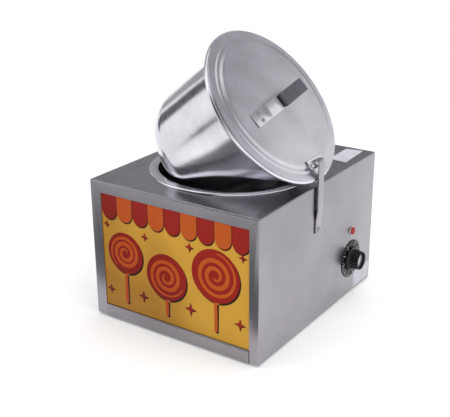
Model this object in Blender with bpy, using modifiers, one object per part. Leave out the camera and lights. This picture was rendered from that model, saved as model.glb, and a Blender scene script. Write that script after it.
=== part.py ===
"""Candy apple cooker: a sheet-metal cabinet with a picture sign in front and a round heated well on top.
A lift-out kettle stands tilted in the well and a strap on the side holds its rim down. The kettle
carries a lid, and a thermostat is on the side. The front faces -Y, the controls are at +X, +Z is up."""

import math

import bmesh
import bpy
from mathutils import Matrix, Vector

mm = 0.001

# General
fit_gap = 0.3 * mm
cut_overrun = 6 * mm
merge_distance = 0.01 * mm
sheet = 1.2 * mm
small_bevel = 0.6 * mm

# Cabinet
cabinet_width = 335 * mm
cabinet_depth = 395 * mm
cabinet_height = 248 * mm
foot_height = 4 * mm
edge_radius = 2.5 * mm
left_strip = 22.5 * mm
right_strip = 17.5 * mm
top_strip = 20 * mm
rear_flange = 16 * mm
mitre_slot = 0.5 * mm
mitre_stop = 4 * mm

# Front rail and sign
rail_height = 22 * mm
rail_proud = 1.5 * mm
rail_lower = 1.5 * mm
rail_top_depth = 7 * mm
rail_upturn = 6 * mm
rail_return = 12 * mm
rail_bend = 1.2 * mm
sign_thickness = 3 * mm
sign_overlap = 11 * mm

# Bottom pan, back panel, baffle and feet
pan_rim = 12 * mm
pan_bend = 1.5 * mm
vent_width = 5 * mm
vent_length = 48 * mm
vent_pitch = 22 * mm
vent_count = 9
vent_row_gap = 30 * mm
panel_border = 3 * mm
baffle_setback = 30 * mm
baffle_flange = 14 * mm
baffle_bend = 2 * mm
foot_radius = 12 * mm
foot_stem_radius = 3.7 * mm
foot_head_radius = 5.5 * mm
foot_head_height = 2.2 * mm
foot_inset = 42 * mm
foot_taper = 1 * mm

# Well
well_setback = 180 * mm
deck_hole_radius = 131 * mm
ring_width = 16 * mm
ring_bore_radius = 128 * mm
ring_height = 4.2 * mm
ring_chamfer = 0.6 * mm
ring_foot_width = 4.6 * mm
liner_radius = 129 * mm
liner_wall = 1 * mm
liner_floor_height = 46 * mm
liner_corner = 14 * mm
lip_clearance = 1.4 * mm

# Heating element and its parts
coil_radius = 85 * mm
sheath_radius = 4 * mm
coil_rise = 10 * mm
coil_bend = 11 * mm
coil_tail = 34 * mm
coil_gap_angle = math.radians(8)
support_width = 6 * mm
support_overhang = 7 * mm
terminal_length = 44 * mm
terminal_width = 24 * mm
terminal_height = 16 * mm

# Kettle, standing tilted on the edge of the well ring
tilt = math.radians(51.6)
seat_drop = 32.98 * mm
least_mouth_gap = 53 * mm
kettle_radius = 121 * mm
kettle_depth = 192 * mm
kettle_corner = 50 * mm
kettle_wall = 2 * mm
bead_radius = 4 * mm
bead_centre = 138.3 * mm
flare_drop = 12 * mm
flare_reach = 7 * mm
flare_rise = 2.5 * mm

# Lid
lid_radius = 139 * mm
lid_flange_radius = 129.5 * mm
lid_ledge_radius = 124 * mm
lid_face_radius = 118 * mm
lid_sheet = 1.5 * mm
lid_ledge_rise = 2.6 * mm
lid_face_rise = 6.6 * mm
lid_crown = 1.3 * mm
lid_step = 1.8 * mm

# Lid handle
handle_turn = math.radians(9)
handle_shift = 2 * mm
strap_width = 24 * mm
strap_sheet = 2 * mm
handle_foot_end = -86 * mm
handle_foot_start = -41 * mm
handle_rise_end = -27 * mm
handle_free_end = 55 * mm
handle_clearance = 16.5 * mm
handle_bend = 7 * mm
grip_start = -20 * mm
grip_end = 58 * mm
grip_height = 6.5 * mm
grip_bevel = 2 * mm
rivet_place = -68 * mm
rivet_spread = 6.5 * mm
rivet_radius = 2 * mm
rivet_head_radius = 4.2 * mm
rivet_head_height = 1.8 * mm

# Lid bracket under the tilt strap
bracket_inner = 107 * mm
bracket_outer = 124 * mm
bracket_half_length = 23 * mm
bracket_corner = 7 * mm
bracket_sheet = 2 * mm
bracket_screw_place = 117 * mm
bracket_screw_spread = 14.5 * mm
screw_radius = 2 * mm
screw_head_radius = 4.4 * mm
screw_head_height = 2.4 * mm

# Tilt strap on the side
tilt_strap_width = 17 * mm
tilt_strap_thickness = 2.5 * mm
tilt_strap_drop = 85 * mm
joggle_low = 50 * mm
joggle_high = 44 * mm
lid_clearance = 1.2 * mm
arm_dip = 4.1 * mm
arm_bend = 5 * mm
arm_place = 112 * mm
arm_clearance = 0.8 * mm
strap_screw_drop = 77 * mm

# Controls on the right side
controls_inset = 83.5 * mm
dial_height = 67.7 * mm
dial_radius = 35 * mm
dial_thickness = 1 * mm
knob_radius = 22 * mm
knob_skirt = 3.5 * mm
knob_neck_radius = 18.5 * mm
knob_top_radius = 16.5 * mm
knob_height = 21 * mm
knob_edge = 1.5 * mm
cap_radius = 14.5 * mm
cap_thickness = 1.2 * mm
shaft_radius = 3 * mm
shaft_length = 13 * mm
shaft_depth = 6 * mm
thermostat_depth = 34 * mm
thermostat_width = 38 * mm
thermostat_height = 44 * mm
capillary_radius = 1 * mm
bulb_radius = 3.5 * mm
bulb_length = 80 * mm
bulb_angle = math.radians(45)
bulb_drop = 36.3 * mm
capillary_reach = 9 * mm
capillary_bend = 9 * mm
pilot_rise = 54.3 * mm
lens_radius = 6.6 * mm
lens_height = 6.5 * mm
lens_stem_radius = 5 * mm
bezel_radius = 8.4 * mm
bezel_height = 2.2 * mm
pilot_body_length = 24 * mm

# Cord inlet at the back
gland_place = 105 * mm
gland_height = 44 * mm
gland_bore = 4.6 * mm
gland_neck = 8 * mm
gland_flange = 12 * mm
gland_proud = 4 * mm
gland_nut = 4 * mm

# Places that follow from the sizes above
half_width = cabinet_width / 2
half_depth = cabinet_depth / 2
body_bottom = foot_height
deck = foot_height + cabinet_height
side_inner = half_width - sheet
front_inner = -half_depth + sheet
back_inner = half_depth - sheet
well_y = well_setback - half_depth
controls_y = half_depth - controls_inset
dial_z = body_bottom + dial_height
knob_base = dial_thickness + 2 * fit_gap
control_reach = knob_base + knob_height
gland_reach = gland_proud - sheet
ring_top = deck + ring_height
ring_roll = ring_height - fit_gap
ring_outer_radius = ring_bore_radius + ring_width
lip_radius = ring_outer_radius - ring_foot_width - lip_clearance
liner_outer = liner_radius + liner_wall
liner_floor = body_bottom + liner_floor_height
coil_height = liner_floor + coil_rise

# The kettle's wall stands on the ring, farther out for a deep kettle, so that its bottom clears the ring
clear_drop = kettle_depth - (2 * ring_bore_radius - least_mouth_gap) * math.sin(tilt)
kettle_offset = (
    ring_bore_radius + max(seat_drop, clear_drop) * math.sin(tilt) - (kettle_radius + fit_gap) * math.cos(tilt)
)
kettle_z = ring_top + (
    kettle_radius + fit_gap - (ring_bore_radius - kettle_offset) * math.cos(tilt)
) / math.sin(tilt)
lid_rest = bead_radius + fit_gap
lid_flange_top = lid_rest + lid_sheet
lid_face_top = lid_flange_top + lid_face_rise
lid_top = lid_face_top + lid_crown
plate_rest = lid_top + fit_gap
bracket_top = plate_rest + bracket_sheet
well_angles = 48


def clear_scene():
    for item in list(bpy.data.objects):
        bpy.data.objects.remove(item, do_unlink=True)


def new_collection(name):
    collection = bpy.data.collections.new(name)
    bpy.context.scene.collection.children.link(collection)
    return collection


def finish(name, colour, roughness, metallic=0.0):
    """A Principled material of one colour, given in linear light."""
    material = bpy.data.materials.new(name)
    material.use_nodes = True
    shader = material.node_tree.nodes["Principled BSDF"]
    shader.inputs["Base Color"].default_value = (*colour, 1.0)
    shader.inputs["Roughness"].default_value = roughness
    shader.inputs["Metallic"].default_value = metallic
    material.diffuse_color = (*colour, 1.0)
    return material


clear_scene()
parts = new_collection("candy_apple_cooker")
cutters = new_collection("cutters")

stainless = finish("brushed stainless sheet", (0.40, 0.38, 0.41), 0.38, 1.0)
zinc_steel = finish("zinc plated steel", (0.52, 0.52, 0.50), 0.42, 1.0)
spun_aluminium = finish("spun aluminium", (0.80, 0.79, 0.82), 0.16, 1.0)
satin_aluminium = finish("satin aluminium", (0.50, 0.48, 0.53), 0.34, 1.0)
polished_steel = finish("polished steel", (0.75, 0.75, 0.77), 0.18, 1.0)
sign_acrylic = finish("printed acrylic", (0.68, 0.40, 0.07), 0.30)
black_plastic = finish("black phenolic", (0.02, 0.02, 0.022), 0.35)
grip_plastic = finish("dark grey plastic", (0.105, 0.10, 0.125), 0.48)
dial_print = finish("black dial plate", (0.015, 0.015, 0.016), 0.30)
red_lens = finish("red lens", (0.55, 0.03, 0.02), 0.18)
rubber = finish("black rubber", (0.025, 0.025, 0.025), 0.75)
element_steel = finish("heater sheath", (0.10, 0.09, 0.085), 0.55, 1.0)
ceramic = finish("white ceramic", (0.75, 0.73, 0.68), 0.5)
copper = finish("copper capillary", (0.72, 0.34, 0.17), 0.35, 1.0)


def new_frame(name, location, turn=(0.0, 0.0, 0.0), parent=None):
    frame = bpy.data.objects.new(name, None)
    parts.objects.link(frame)
    frame.location = location
    frame.rotation_euler = turn
    frame.parent = parent
    return frame


# The cabinet's own centre is moved so that the whole object's bounding box is centred on the origin.
cabinet_frame = new_frame("cabinet_frame", (-control_reach / 2, (rail_proud - gland_reach) / 2, 0.0))
well_frame = new_frame("well_frame", (0.0, well_y, 0.0), parent=cabinet_frame)
kettle_frame = new_frame("kettle_frame", (kettle_offset, 0.0, kettle_z), (0.0, tilt, 0.0), well_frame)
handle_frame = new_frame("handle_frame", (handle_shift, 0.0, 0.0), (0.0, 0.0, handle_turn), kettle_frame)
side_turn = (0.0, math.pi / 2, 0.0)
dial_frame = new_frame("dial_frame", (half_width, controls_y, dial_z), side_turn, cabinet_frame)
pilot_frame = new_frame("pilot_frame", (half_width, controls_y, dial_z + pilot_rise), side_turn, cabinet_frame)
gland_frame = new_frame(
    "gland_frame", (gland_place, back_inner - fit_gap, gland_height), (-math.pi / 2, 0.0, 0.0), cabinet_frame
)


def add_object(name, mesh, material, parent, location=(0.0, 0.0, 0.0), turn=(0.0, 0.0, 0.0)):
    """Links a mesh as a part. Without a material it becomes a cutter."""
    thing = bpy.data.objects.new(name, mesh)
    (parts if material else cutters).objects.link(thing)
    thing.location = location
    thing.rotation_euler = turn
    thing.parent = parent
    if material:
        mesh.materials.append(material)
    else:
        thing.hide_render = True
        thing.display_type = "WIRE"
    return thing


def mesh_from(name, shape):
    mesh = bpy.data.meshes.new(name)
    shape.to_mesh(mesh)
    shape.free()
    return mesh


def block(name, low, high, material=None, parent=cabinet_frame, open_face=None):
    """A box between two corners, with the face that looks along open_face left out."""
    low, high = Vector(low), Vector(high)
    shape = bmesh.new()
    bmesh.ops.create_cube(shape, size=1.0)
    bmesh.ops.scale(shape, vec=high - low, verts=shape.verts)
    if open_face:
        shape.normal_update()
        gone = [face for face in shape.faces if face.normal.dot(Vector(open_face)) > 0.5]
        bmesh.ops.delete(shape, geom=gone, context="FACES_ONLY")
    return add_object(name, mesh_from(name, shape), material, parent, (low + high) / 2)


def cylinder(name, radius, low, high, material=None, parent=cabinet_frame, place=(0.0, 0.0, 0.0),
             turn=(0.0, 0.0, 0.0), sides=32):
    """A round bar along its own Z from low to high."""
    shape = bmesh.new()
    bmesh.ops.create_cone(
        shape, cap_ends=True, segments=sides, radius1=radius, radius2=radius, depth=high - low,
        matrix=Matrix.Translation((0.0, 0.0, (low + high) / 2)),
    )
    return add_object(name, mesh_from(name, shape), material, parent, place, turn)


def turned(name, profile, material, parent, place=(0.0, 0.0, 0.0), turn=(0.0, 0.0, 0.0), sides=32, ring=False):
    """A profile of (radius, height) points, running down its outer side, turned about Z."""
    count = len(profile)
    edges = [(i, i + 1) for i in range(count - 1)] + ([(count - 1, 0)] if ring else [])
    mesh = bpy.data.meshes.new(name)
    mesh.from_pydata([(radius, 0.0, height) for radius, height in profile], edges, [])
    thing = add_object(name, mesh, material, parent, place, turn)
    screw = thing.modifiers.new("turn", "SCREW")
    screw.steps = sides
    screw.render_steps = sides
    screw.use_merge_vertices = True
    screw.merge_threshold = merge_distance
    return thing


def arc(centre, radius, start, end, steps):
    """Points on an arc, from the start angle to the end angle in degrees."""
    angles = [math.radians(start + (end - start) * i / steps) for i in range(steps + 1)]
    return [(centre[0] + radius * math.cos(a), centre[1] + radius * math.sin(a)) for a in angles]


def rounded(corners, radius, steps=4):
    """An open path with each inner corner turned into an arc."""
    path = [Vector(corners[0])]
    for before, corner, after in zip(corners, corners[1:], corners[2:]):
        corner = Vector(corner)
        back = (Vector(before) - corner).normalized()
        ahead = (Vector(after) - corner).normalized()
        half = back.angle(ahead) / 2
        centre = corner + (back + ahead).normalized() * radius / math.sin(half)
        first = (corner + back * radius / math.tan(half) - centre).normalized()
        last = (corner + ahead * radius / math.tan(half) - centre).normalized()
        path += [centre + first.slerp(last, i / steps) * radius for i in range(steps + 1)]
    return path + [Vector(corners[-1])]


def strip(name, path, width, thickness, material, parent, along="Y"):
    """A bent strip: a path in the plane across one axis, drawn out along it and given a thickness."""
    place = {
        "X": lambda side, a, b: (side, a, b),
        "Y": lambda side, a, b: (a, side, b),
        "Z": lambda side, a, b: (a, b, side),
    }[along]
    sides = (-width / 2, width / 2) if isinstance(width, float) else width
    shape = bmesh.new()
    rows = [[shape.verts.new(place(side, a, b)) for side in sides] for a, b in path]
    for near, far in zip(rows, rows[1:]):
        shape.faces.new((near[0], near[1], far[1], far[0]))
    thing = add_object(name, mesh_from(name, shape), material, parent)
    thicken(thing, thickness, 0.0)
    return thing


def plate(name, outline, low, high, material, parent):
    """A flat plate from its outline in X and Y, given counterclockwise."""
    shape = bmesh.new()
    face = shape.faces.new([shape.verts.new((x, y, low)) for x, y in outline])
    grown = bmesh.ops.extrude_face_region(shape, geom=[face])["geom"]
    moved = [item for item in grown if isinstance(item, bmesh.types.BMVert)]
    bmesh.ops.translate(shape, verts=moved, vec=(0.0, 0.0, high - low))
    bmesh.ops.recalc_face_normals(shape, faces=shape.faces)
    return add_object(name, mesh_from(name, shape), material, parent)


def tube(name, path, radius, material, parent, sizes=None):
    """A round tube along a path, with its ends closed. sizes holds a share of the radius per point."""
    curve = bpy.data.curves.new(name, "CURVE")
    curve.dimensions = "3D"
    curve.bevel_depth = radius
    curve.bevel_resolution = 1
    curve.use_fill_caps = True
    spline = curve.splines.new("POLY")
    spline.points.add(len(path) - 1)
    for i, place in enumerate(path):
        spline.points[i].co = (*place, 1.0)
        spline.points[i].radius = sizes[i] if sizes else 1.0
    return add_object(name, curve, material, parent)


def thicken(thing, thickness, offset=-1.0):
    wall = thing.modifiers.new("thickness", "SOLIDIFY")
    wall.thickness = thickness
    wall.offset = offset
    wall.use_even_offset = True


def round_edges(thing, width, segments=2):
    edge = thing.modifiers.new("rounded edges", "BEVEL")
    edge.width = width
    edge.segments = segments
    edge.limit_method = "ANGLE"
    edge.angle_limit = math.radians(40)


def cut(thing, *tools):
    for tool in tools:
        opening = thing.modifiers.new("cut " + tool.name, "BOOLEAN")
        opening.operation = "DIFFERENCE"
        opening.solver = "EXACT"
        opening.object = tool


def join(thing, *others):
    """Adds other solids, which stay among the cutters, to a solid."""
    for other in others:
        union = thing.modifiers.new("join " + other.name, "BOOLEAN")
        union.operation = "UNION"
        union.solver = "EXACT"
        union.object = other


def many_blocks(name, places, size, parent=cabinet_frame):
    """One cutter made of equal boxes about the places."""
    shape = bmesh.new()
    for place in places:
        made = bmesh.ops.create_cube(shape, size=1.0)["verts"]
        bmesh.ops.scale(shape, vec=Vector(size), verts=made)
        bmesh.ops.translate(shape, verts=made, vec=Vector(place))
    return add_object(name, mesh_from(name, shape), None, parent)


# Cabinet shell: top, sides and the front and rear flanges are one bent sheet
shell = block(
    "cabinet_shell", (-half_width, -half_depth, body_bottom), (half_width, half_depth, deck), stainless,
    open_face=(0, 0, -1),
)
round_edges(shell, edge_radius)
thicken(shell, sheet)
opening_low = -half_width + left_strip
opening_high = half_width - right_strip
opening_top = deck - top_strip
sheet_cut = sheet + cut_overrun
front_opening = block(
    "front opening", (opening_low, -half_depth - cut_overrun, body_bottom - cut_overrun),
    (opening_high, -half_depth + sheet_cut, opening_top),
)
rear_opening = block(
    "rear opening", (-half_width + rear_flange, half_depth - sheet_cut, body_bottom + rear_flange),
    (half_width - rear_flange, half_depth + cut_overrun, deck - rear_flange),
)
well_hole = cylinder(
    "well hole", deck_hole_radius, deck - sheet_cut, deck + cut_overrun, parent=well_frame, sides=well_angles
)
shaft_hole = cylinder(
    "shaft hole", shaft_radius + sheet, -sheet_cut, cut_overrun, parent=dial_frame, sides=20
)
pilot_hole = cylinder(
    "pilot hole", lens_stem_radius + sheet / 2, -sheet_cut, cut_overrun, parent=pilot_frame, sides=20
)
strap_screw_z = deck - strap_screw_drop
strap_hole = cylinder(
    "strap screw hole", screw_radius + fit_gap, -sheet_cut, cut_overrun, parent=cabinet_frame,
    place=(half_width, well_y, strap_screw_z), turn=side_turn, sides=16,
)


def mitre(name, corner_x, side):
    """A thin slanted slot from the opening's corner that stops short of the cabinet's corner."""
    span_x = half_width + side * corner_x - mitre_stop
    span_z = deck - opening_top - mitre_stop
    length = math.hypot(span_x, span_z) + cut_overrun
    slot = block(
        name, (-cut_overrun, -half_depth - cut_overrun, -mitre_slot / 2),
        (length - cut_overrun, -half_depth + sheet_cut, mitre_slot / 2),
    )
    middle = length / 2 - cut_overrun
    lean = math.atan2(span_z, -side * span_x)
    slot.location.x = corner_x + middle * math.cos(lean)
    slot.location.z = opening_top + middle * math.sin(lean)
    slot.rotation_euler.y = -lean
    return slot


cut(shell, front_opening, rear_opening, well_hole, shaft_hole, pilot_hole, strap_hole,
    mitre("left mitre", opening_low, 1), mitre("right mitre", opening_high, -1))

# Front rail: a bent channel that the sign stands in
rail_low = opening_low + fit_gap
rail_high = opening_high - fit_gap
rail_top = body_bottom + rail_height
rail_face = -half_depth - rail_proud + sheet / 2
rail_path = rounded([
    (-half_depth + rail_top_depth, rail_top + rail_upturn),
    (-half_depth + rail_top_depth, rail_top - sheet / 2),
    (rail_face, rail_top - sheet / 2),
    (rail_face, body_bottom - rail_lower + sheet / 2),
    (-half_depth + rail_return, body_bottom - rail_lower + sheet / 2),
], rail_bend, 3)
strip("front_rail", rail_path, (rail_low, rail_high), sheet, stainless, cabinet_frame, "X")

# Sign: a plate behind the front flanges
sign = block(
    "sign_panel", (opening_low - sign_overlap, front_inner + fit_gap, rail_top + fit_gap),
    (opening_high + sign_overlap, front_inner + fit_gap + sign_thickness, opening_top + sign_overlap),
    sign_acrylic,
)

# Bottom pan with vent slots and foot holes
pan_side = side_inner - fit_gap
pan_front = front_inner + fit_gap
pan_back = back_inner - sheet - 2 * fit_gap
pan = block(
    "bottom_pan", (-pan_side, pan_front, body_bottom), (pan_side, pan_back, body_bottom + pan_rim), zinc_steel,
    open_face=(0, 0, 1),
)
round_edges(pan, pan_bend)
thicken(pan, sheet)
vent_rows = [-(vent_length + vent_row_gap) / 2, (vent_length + vent_row_gap) / 2]
vent_offsets = [(i - (vent_count - 1) / 2) * vent_pitch for i in range(vent_count)]
pan_vents = many_blocks(
    "pan vents", [(x, y, body_bottom) for x in vent_offsets for y in vent_rows],
    (vent_width, vent_length, 2 * sheet_cut),
)
foot_places = {
    "front_left": (-half_width + foot_inset, -half_depth + foot_inset),
    "front_right": (half_width - foot_inset, -half_depth + foot_inset),
    "rear_left": (-half_width + foot_inset, half_depth - foot_inset),
    "rear_right": (half_width - foot_inset, half_depth - foot_inset),
}
foot_holes = [
    cylinder("hole " + name, foot_stem_radius + fit_gap, -sheet_cut, sheet_cut, place=(x, y, body_bottom), sides=16)
    for name, (x, y) in foot_places.items()
]
cut(pan, pan_vents, *foot_holes)

# Feet: rubber buttons with a stem through the pan
pan_top = body_bottom + sheet
foot_profile = [
    (0.0, pan_top + fit_gap + foot_head_height),
    (foot_stem_radius, pan_top + fit_gap + foot_head_height),
    (foot_head_radius, pan_top + fit_gap),
    (foot_stem_radius, pan_top + fit_gap),
    (foot_stem_radius, body_bottom - fit_gap),
    (foot_radius - foot_taper, body_bottom - fit_gap),
    (foot_radius, 0.0),
    (0.0, 0.0),
]
for name, (x, y) in foot_places.items():
    turned("foot_" + name, foot_profile, rubber, cabinet_frame, (x, y, 0.0), sides=16)

# Back panel inside the rear flange, with louvre slots
panel_side = side_inner - panel_border
panel_front = back_inner - fit_gap - sheet
back_panel = block(
    "back_panel", (-panel_side, panel_front, body_bottom + panel_border),
    (panel_side, back_inner - fit_gap, deck - sheet - panel_border), stainless,
)
panel_middle = (body_bottom + deck) / 2
back_vents = many_blocks(
    "back vents", [(x, back_inner, panel_middle + z) for x in vent_offsets for z in vent_rows],
    (vent_width, 2 * sheet_cut, vent_length),
)
gland_hole = cylinder(
    "gland hole", gland_neck + fit_gap, -sheet_cut, cut_overrun, parent=gland_frame, sides=24
)
cut(back_panel, back_vents, gland_hole)

# Heat baffle between the sign and the well
baffle_y = front_inner + baffle_setback
baffle_side = pan_side - sheet - fit_gap - sheet / 2
baffle_path = rounded([
    (-baffle_side, baffle_y + baffle_flange),
    (-baffle_side, baffle_y),
    (baffle_side, baffle_y),
    (baffle_side, baffle_y + baffle_flange),
], baffle_bend, 3)
baffle_range = (pan_top + fit_gap, deck - sheet - fit_gap)
strip("heat_baffle", baffle_path, baffle_range, sheet, zinc_steel, cabinet_frame, "Z")

# Well ring: its inner edge carries the kettle, and it covers the liner's lip
ring_under = deck + 2 * fit_gap + liner_wall
turned("well_ring", [
    (ring_bore_radius, ring_top - ring_chamfer),
    (ring_bore_radius + ring_chamfer, ring_top),
    *arc((ring_outer_radius - ring_roll, ring_top - ring_roll), ring_roll, 90, 0, 4),
    (ring_outer_radius - ring_foot_width, deck + fit_gap),
    (ring_outer_radius - ring_foot_width, ring_under),
    (ring_bore_radius, ring_under),
], spun_aluminium, well_frame, sides=well_angles, ring=True)

# Well liner: a round can that hangs in the deck by its lip
lip_top = deck + fit_gap + liner_wall
outer_corner = liner_corner + liner_wall
liner = turned("well_liner", [
    (0.0, liner_floor),
    *arc((liner_radius - liner_corner, liner_floor + liner_corner), liner_corner, -90, 0, 3),
    (liner_radius, lip_top),
    (lip_radius, lip_top),
    (lip_radius, deck + fit_gap),
    (liner_outer, deck + fit_gap),
    *arc((liner_radius - liner_corner, liner_floor + liner_corner), outer_corner, 0, -90, 3),
    (0.0, liner_floor - liner_wall),
], zinc_steel, well_frame, sides=well_angles)
tail_places = [
    (coil_radius * math.cos(coil_gap_angle), side * coil_radius * math.sin(coil_gap_angle)) for side in (-1, 1)
]
cut(liner, *[
    cylinder("tail hole", sheath_radius + liner_wall, -sheet_cut, sheet_cut, parent=well_frame,
             place=(x, y, liner_floor), sides=16)
    for x, y in tail_places
])

# Heating element: one turn of sheathed rod with both tails through the liner's floor
bend_steps = 4
bend = []
for step in range(bend_steps + 1):
    slope = math.pi / 2 * step / bend_steps
    along = coil_bend * (1 - math.cos(slope)) / coil_radius
    bend.append((coil_gap_angle + along, coil_height - coil_bend * (1 - math.sin(slope))))
turn_steps = 44
first_angle = bend[-1][0]
coil_turn = [
    (first_angle + (2 * math.pi - 2 * first_angle) * step / turn_steps, coil_height)
    for step in range(1, turn_steps)
]
tail = (coil_gap_angle, coil_height - coil_tail)
back_bend = [(2 * math.pi - angle, height) for angle, height in [tail, *bend]][::-1]
coil_path = [
    (coil_radius * math.cos(angle), coil_radius * math.sin(angle), height)
    for angle, height in [tail, *bend, *coil_turn, *back_bend]
]
tube("heating_element", coil_path, sheath_radius, element_steel, well_frame)

# Element support: three crossed bars on the liner's floor
support_reach = coil_radius + support_overhang
support_low = liner_floor + fit_gap
support_high = coil_height - sheath_radius - fit_gap
bars = []
for i, angle in enumerate((30, 90, 150)):
    bar = block(
        "element_support" if i == 0 else "support bar",
        (-support_reach, -support_width / 2, support_low), (support_reach, support_width / 2, support_high),
        zinc_steel if i == 0 else None, well_frame,
    )
    bar.rotation_euler.z = math.radians(angle)
    bars.append(bar)
join(bars[0], *bars[1:])

# Terminal block under the liner, around the element's tails
tail_x = tail_places[0][0]
terminal_top = liner_floor - liner_wall - fit_gap
terminal = block(
    "terminal_block", (tail_x - terminal_width / 2, -terminal_length / 2, terminal_top - terminal_height),
    (tail_x + terminal_width / 2, terminal_length / 2, terminal_top), ceramic, well_frame,
)
cut(terminal, *[
    cylinder("tail bore", sheath_radius + fit_gap, -terminal_height - cut_overrun, cut_overrun, parent=well_frame,
             place=(x, y, terminal_top), sides=16)
    for x, y in tail_places
])

# Kettle: a spun pot with a flared flange and a wired bead
inner_radius = kettle_radius - kettle_wall
corner_radius_place = kettle_radius - kettle_corner
corner_height = -kettle_depth + kettle_corner
inner_corner = kettle_corner - kettle_wall
flare = [
    (0.0, -flare_drop),
    (0.12 * flare_reach, -flare_drop + 0.55 * (flare_drop - flare_rise)),
    (0.4 * flare_reach, -flare_drop + 0.85 * (flare_drop - flare_rise)),
    (flare_reach, -flare_rise),
]
flare_under = [(kettle_radius + out, height) for out, height in flare]
flare_over = [(radius - kettle_wall * share, height + kettle_wall * (1 - share) * 1.04)
              for (radius, height), share in zip(flare_under, (1.0, 0.92, 0.6, 0.1))]
bead_join = math.degrees(math.asin(kettle_wall / 2 / bead_radius))
turned("kettle", [
    (0.0, -kettle_depth + kettle_wall),
    *arc((corner_radius_place, corner_height), inner_corner, -90, 0, 6),
    *flare_over,
    *arc((bead_centre, 0.0), bead_radius, 180 - bead_join, -180 + bead_join, 10),
    *flare_under[::-1],
    *arc((corner_radius_place, corner_height), kettle_corner, 0, -90, 6),
    (0.0, -kettle_depth),
], spun_aluminium, kettle_frame, sides=well_angles)

# Lid: a pressed disc that lies on the kettle's bead
edge_roll = lid_sheet / 2
lid_upper = [
    (0.0, lid_top),
    (lid_face_radius / 2, lid_top - lid_crown / 4),
    (lid_face_radius - lid_step, lid_face_top),
    (lid_face_radius, lid_face_top - lid_step / 2),
    (lid_face_radius + lid_step / 2, lid_flange_top + lid_ledge_rise + lid_step / 2),
    (lid_face_radius + lid_step, lid_flange_top + lid_ledge_rise),
    (lid_ledge_radius, lid_flange_top + lid_ledge_rise),
    (lid_ledge_radius + lid_step, lid_flange_top + lid_step / 4),
    (lid_flange_radius, lid_flange_top),
]
lid_under = [(max(radius - lid_step / 4, 0.0), height - lid_sheet) for radius, height in lid_upper[::-1]]
lid = turned("lid", [
    *lid_upper,
    *arc((lid_radius - edge_roll, lid_rest + edge_roll), edge_roll, 90, -90, 3),
    *lid_under,
], satin_aluminium, kettle_frame, sides=well_angles)

# Handle strap: a foot on the lid, a riser and a free end that carries the grip
foot_level = plate_rest + strap_sheet / 2
grip_level = lid_top + handle_clearance + strap_sheet / 2
handle_path = rounded([
    (handle_foot_end, foot_level),
    (handle_foot_start, foot_level),
    (handle_rise_end, grip_level),
    (handle_free_end, grip_level),
], handle_bend, 4)
handle = strip("handle_strap", handle_path, strap_width, strap_sheet, polished_steel, handle_frame, "X")
round_edges(handle, small_bevel, 1)
grip_low = grip_level + strap_sheet / 2 + fit_gap
grip = block(
    "handle_grip", (-strap_width / 2, grip_start, grip_low),
    (strap_width / 2, grip_end, grip_low + grip_height), grip_plastic, handle_frame,
)
round_edges(grip, grip_bevel)

# Handle rivets through the strap's foot and the lid
strap_over = plate_rest + strap_sheet + fit_gap
lid_below = lid_face_top - lid_sheet - fit_gap
rivet_profile = [
    (0.0, strap_over + rivet_head_height),
    (rivet_head_radius * 0.6, strap_over + rivet_head_height * 0.8),
    (rivet_head_radius, strap_over + rivet_head_height * 0.2),
    (rivet_head_radius, strap_over),
    (rivet_radius, strap_over),
    (rivet_radius, lid_below),
    (rivet_head_radius, lid_below),
    (rivet_head_radius, lid_below - rivet_head_height / 2),
    (0.0, lid_below - rivet_head_height / 2),
]
rivet_holes = []
for name, x in (("handle_rivet_left", -rivet_spread), ("handle_rivet_right", rivet_spread)):
    turned(name, rivet_profile, satin_aluminium, handle_frame, (x, rivet_place, 0.0), sides=16)
    rivet_holes.append(cylinder(
        "hole " + name, rivet_radius + fit_gap, lid_below - cut_overrun, strap_over + cut_overrun,
        parent=handle_frame, place=(x, rivet_place, 0.0), sides=16,
    ))
cut(handle, *rivet_holes)

# Lid bracket with its two screws: the tilt strap's arm bears on it
corner = bracket_corner
bracket_outline = [
    (bracket_inner, bracket_half_length),
    (bracket_inner, -bracket_half_length),
    *arc((bracket_outer - corner, -bracket_half_length + corner), corner, -90, 0, 5),
    *arc((bracket_outer - corner, bracket_half_length - corner), corner, 0, 90, 5),
]
bracket = plate("lid_bracket", bracket_outline, plate_rest, bracket_top, polished_steel, kettle_frame)
screw_over = bracket_top + fit_gap
screw_profile = [
    (0.0, screw_over + screw_head_height),
    (screw_head_radius * 0.6, screw_over + screw_head_height * 0.8),
    (screw_head_radius, screw_over + screw_head_height * 0.2),
    (screw_head_radius, screw_over),
    (screw_radius, screw_over),
    (screw_radius, lid_below - lid_crown),
    (0.0, lid_below - lid_crown),
]
bracket_holes = []
for name, y in (("bracket_screw_near", -bracket_screw_spread), ("bracket_screw_far", bracket_screw_spread)):
    place = (bracket_screw_place, y, 0.0)
    turned(name, screw_profile, polished_steel, kettle_frame, place, sides=16)
    bracket_holes.append(cylinder(
        "hole " + name, screw_radius + fit_gap, lid_below - cut_overrun, screw_over + cut_overrun,
        parent=kettle_frame, place=place, sides=16,
    ))
cut(bracket, *bracket_holes)
cut(lid, *rivet_holes, *bracket_holes)

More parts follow.
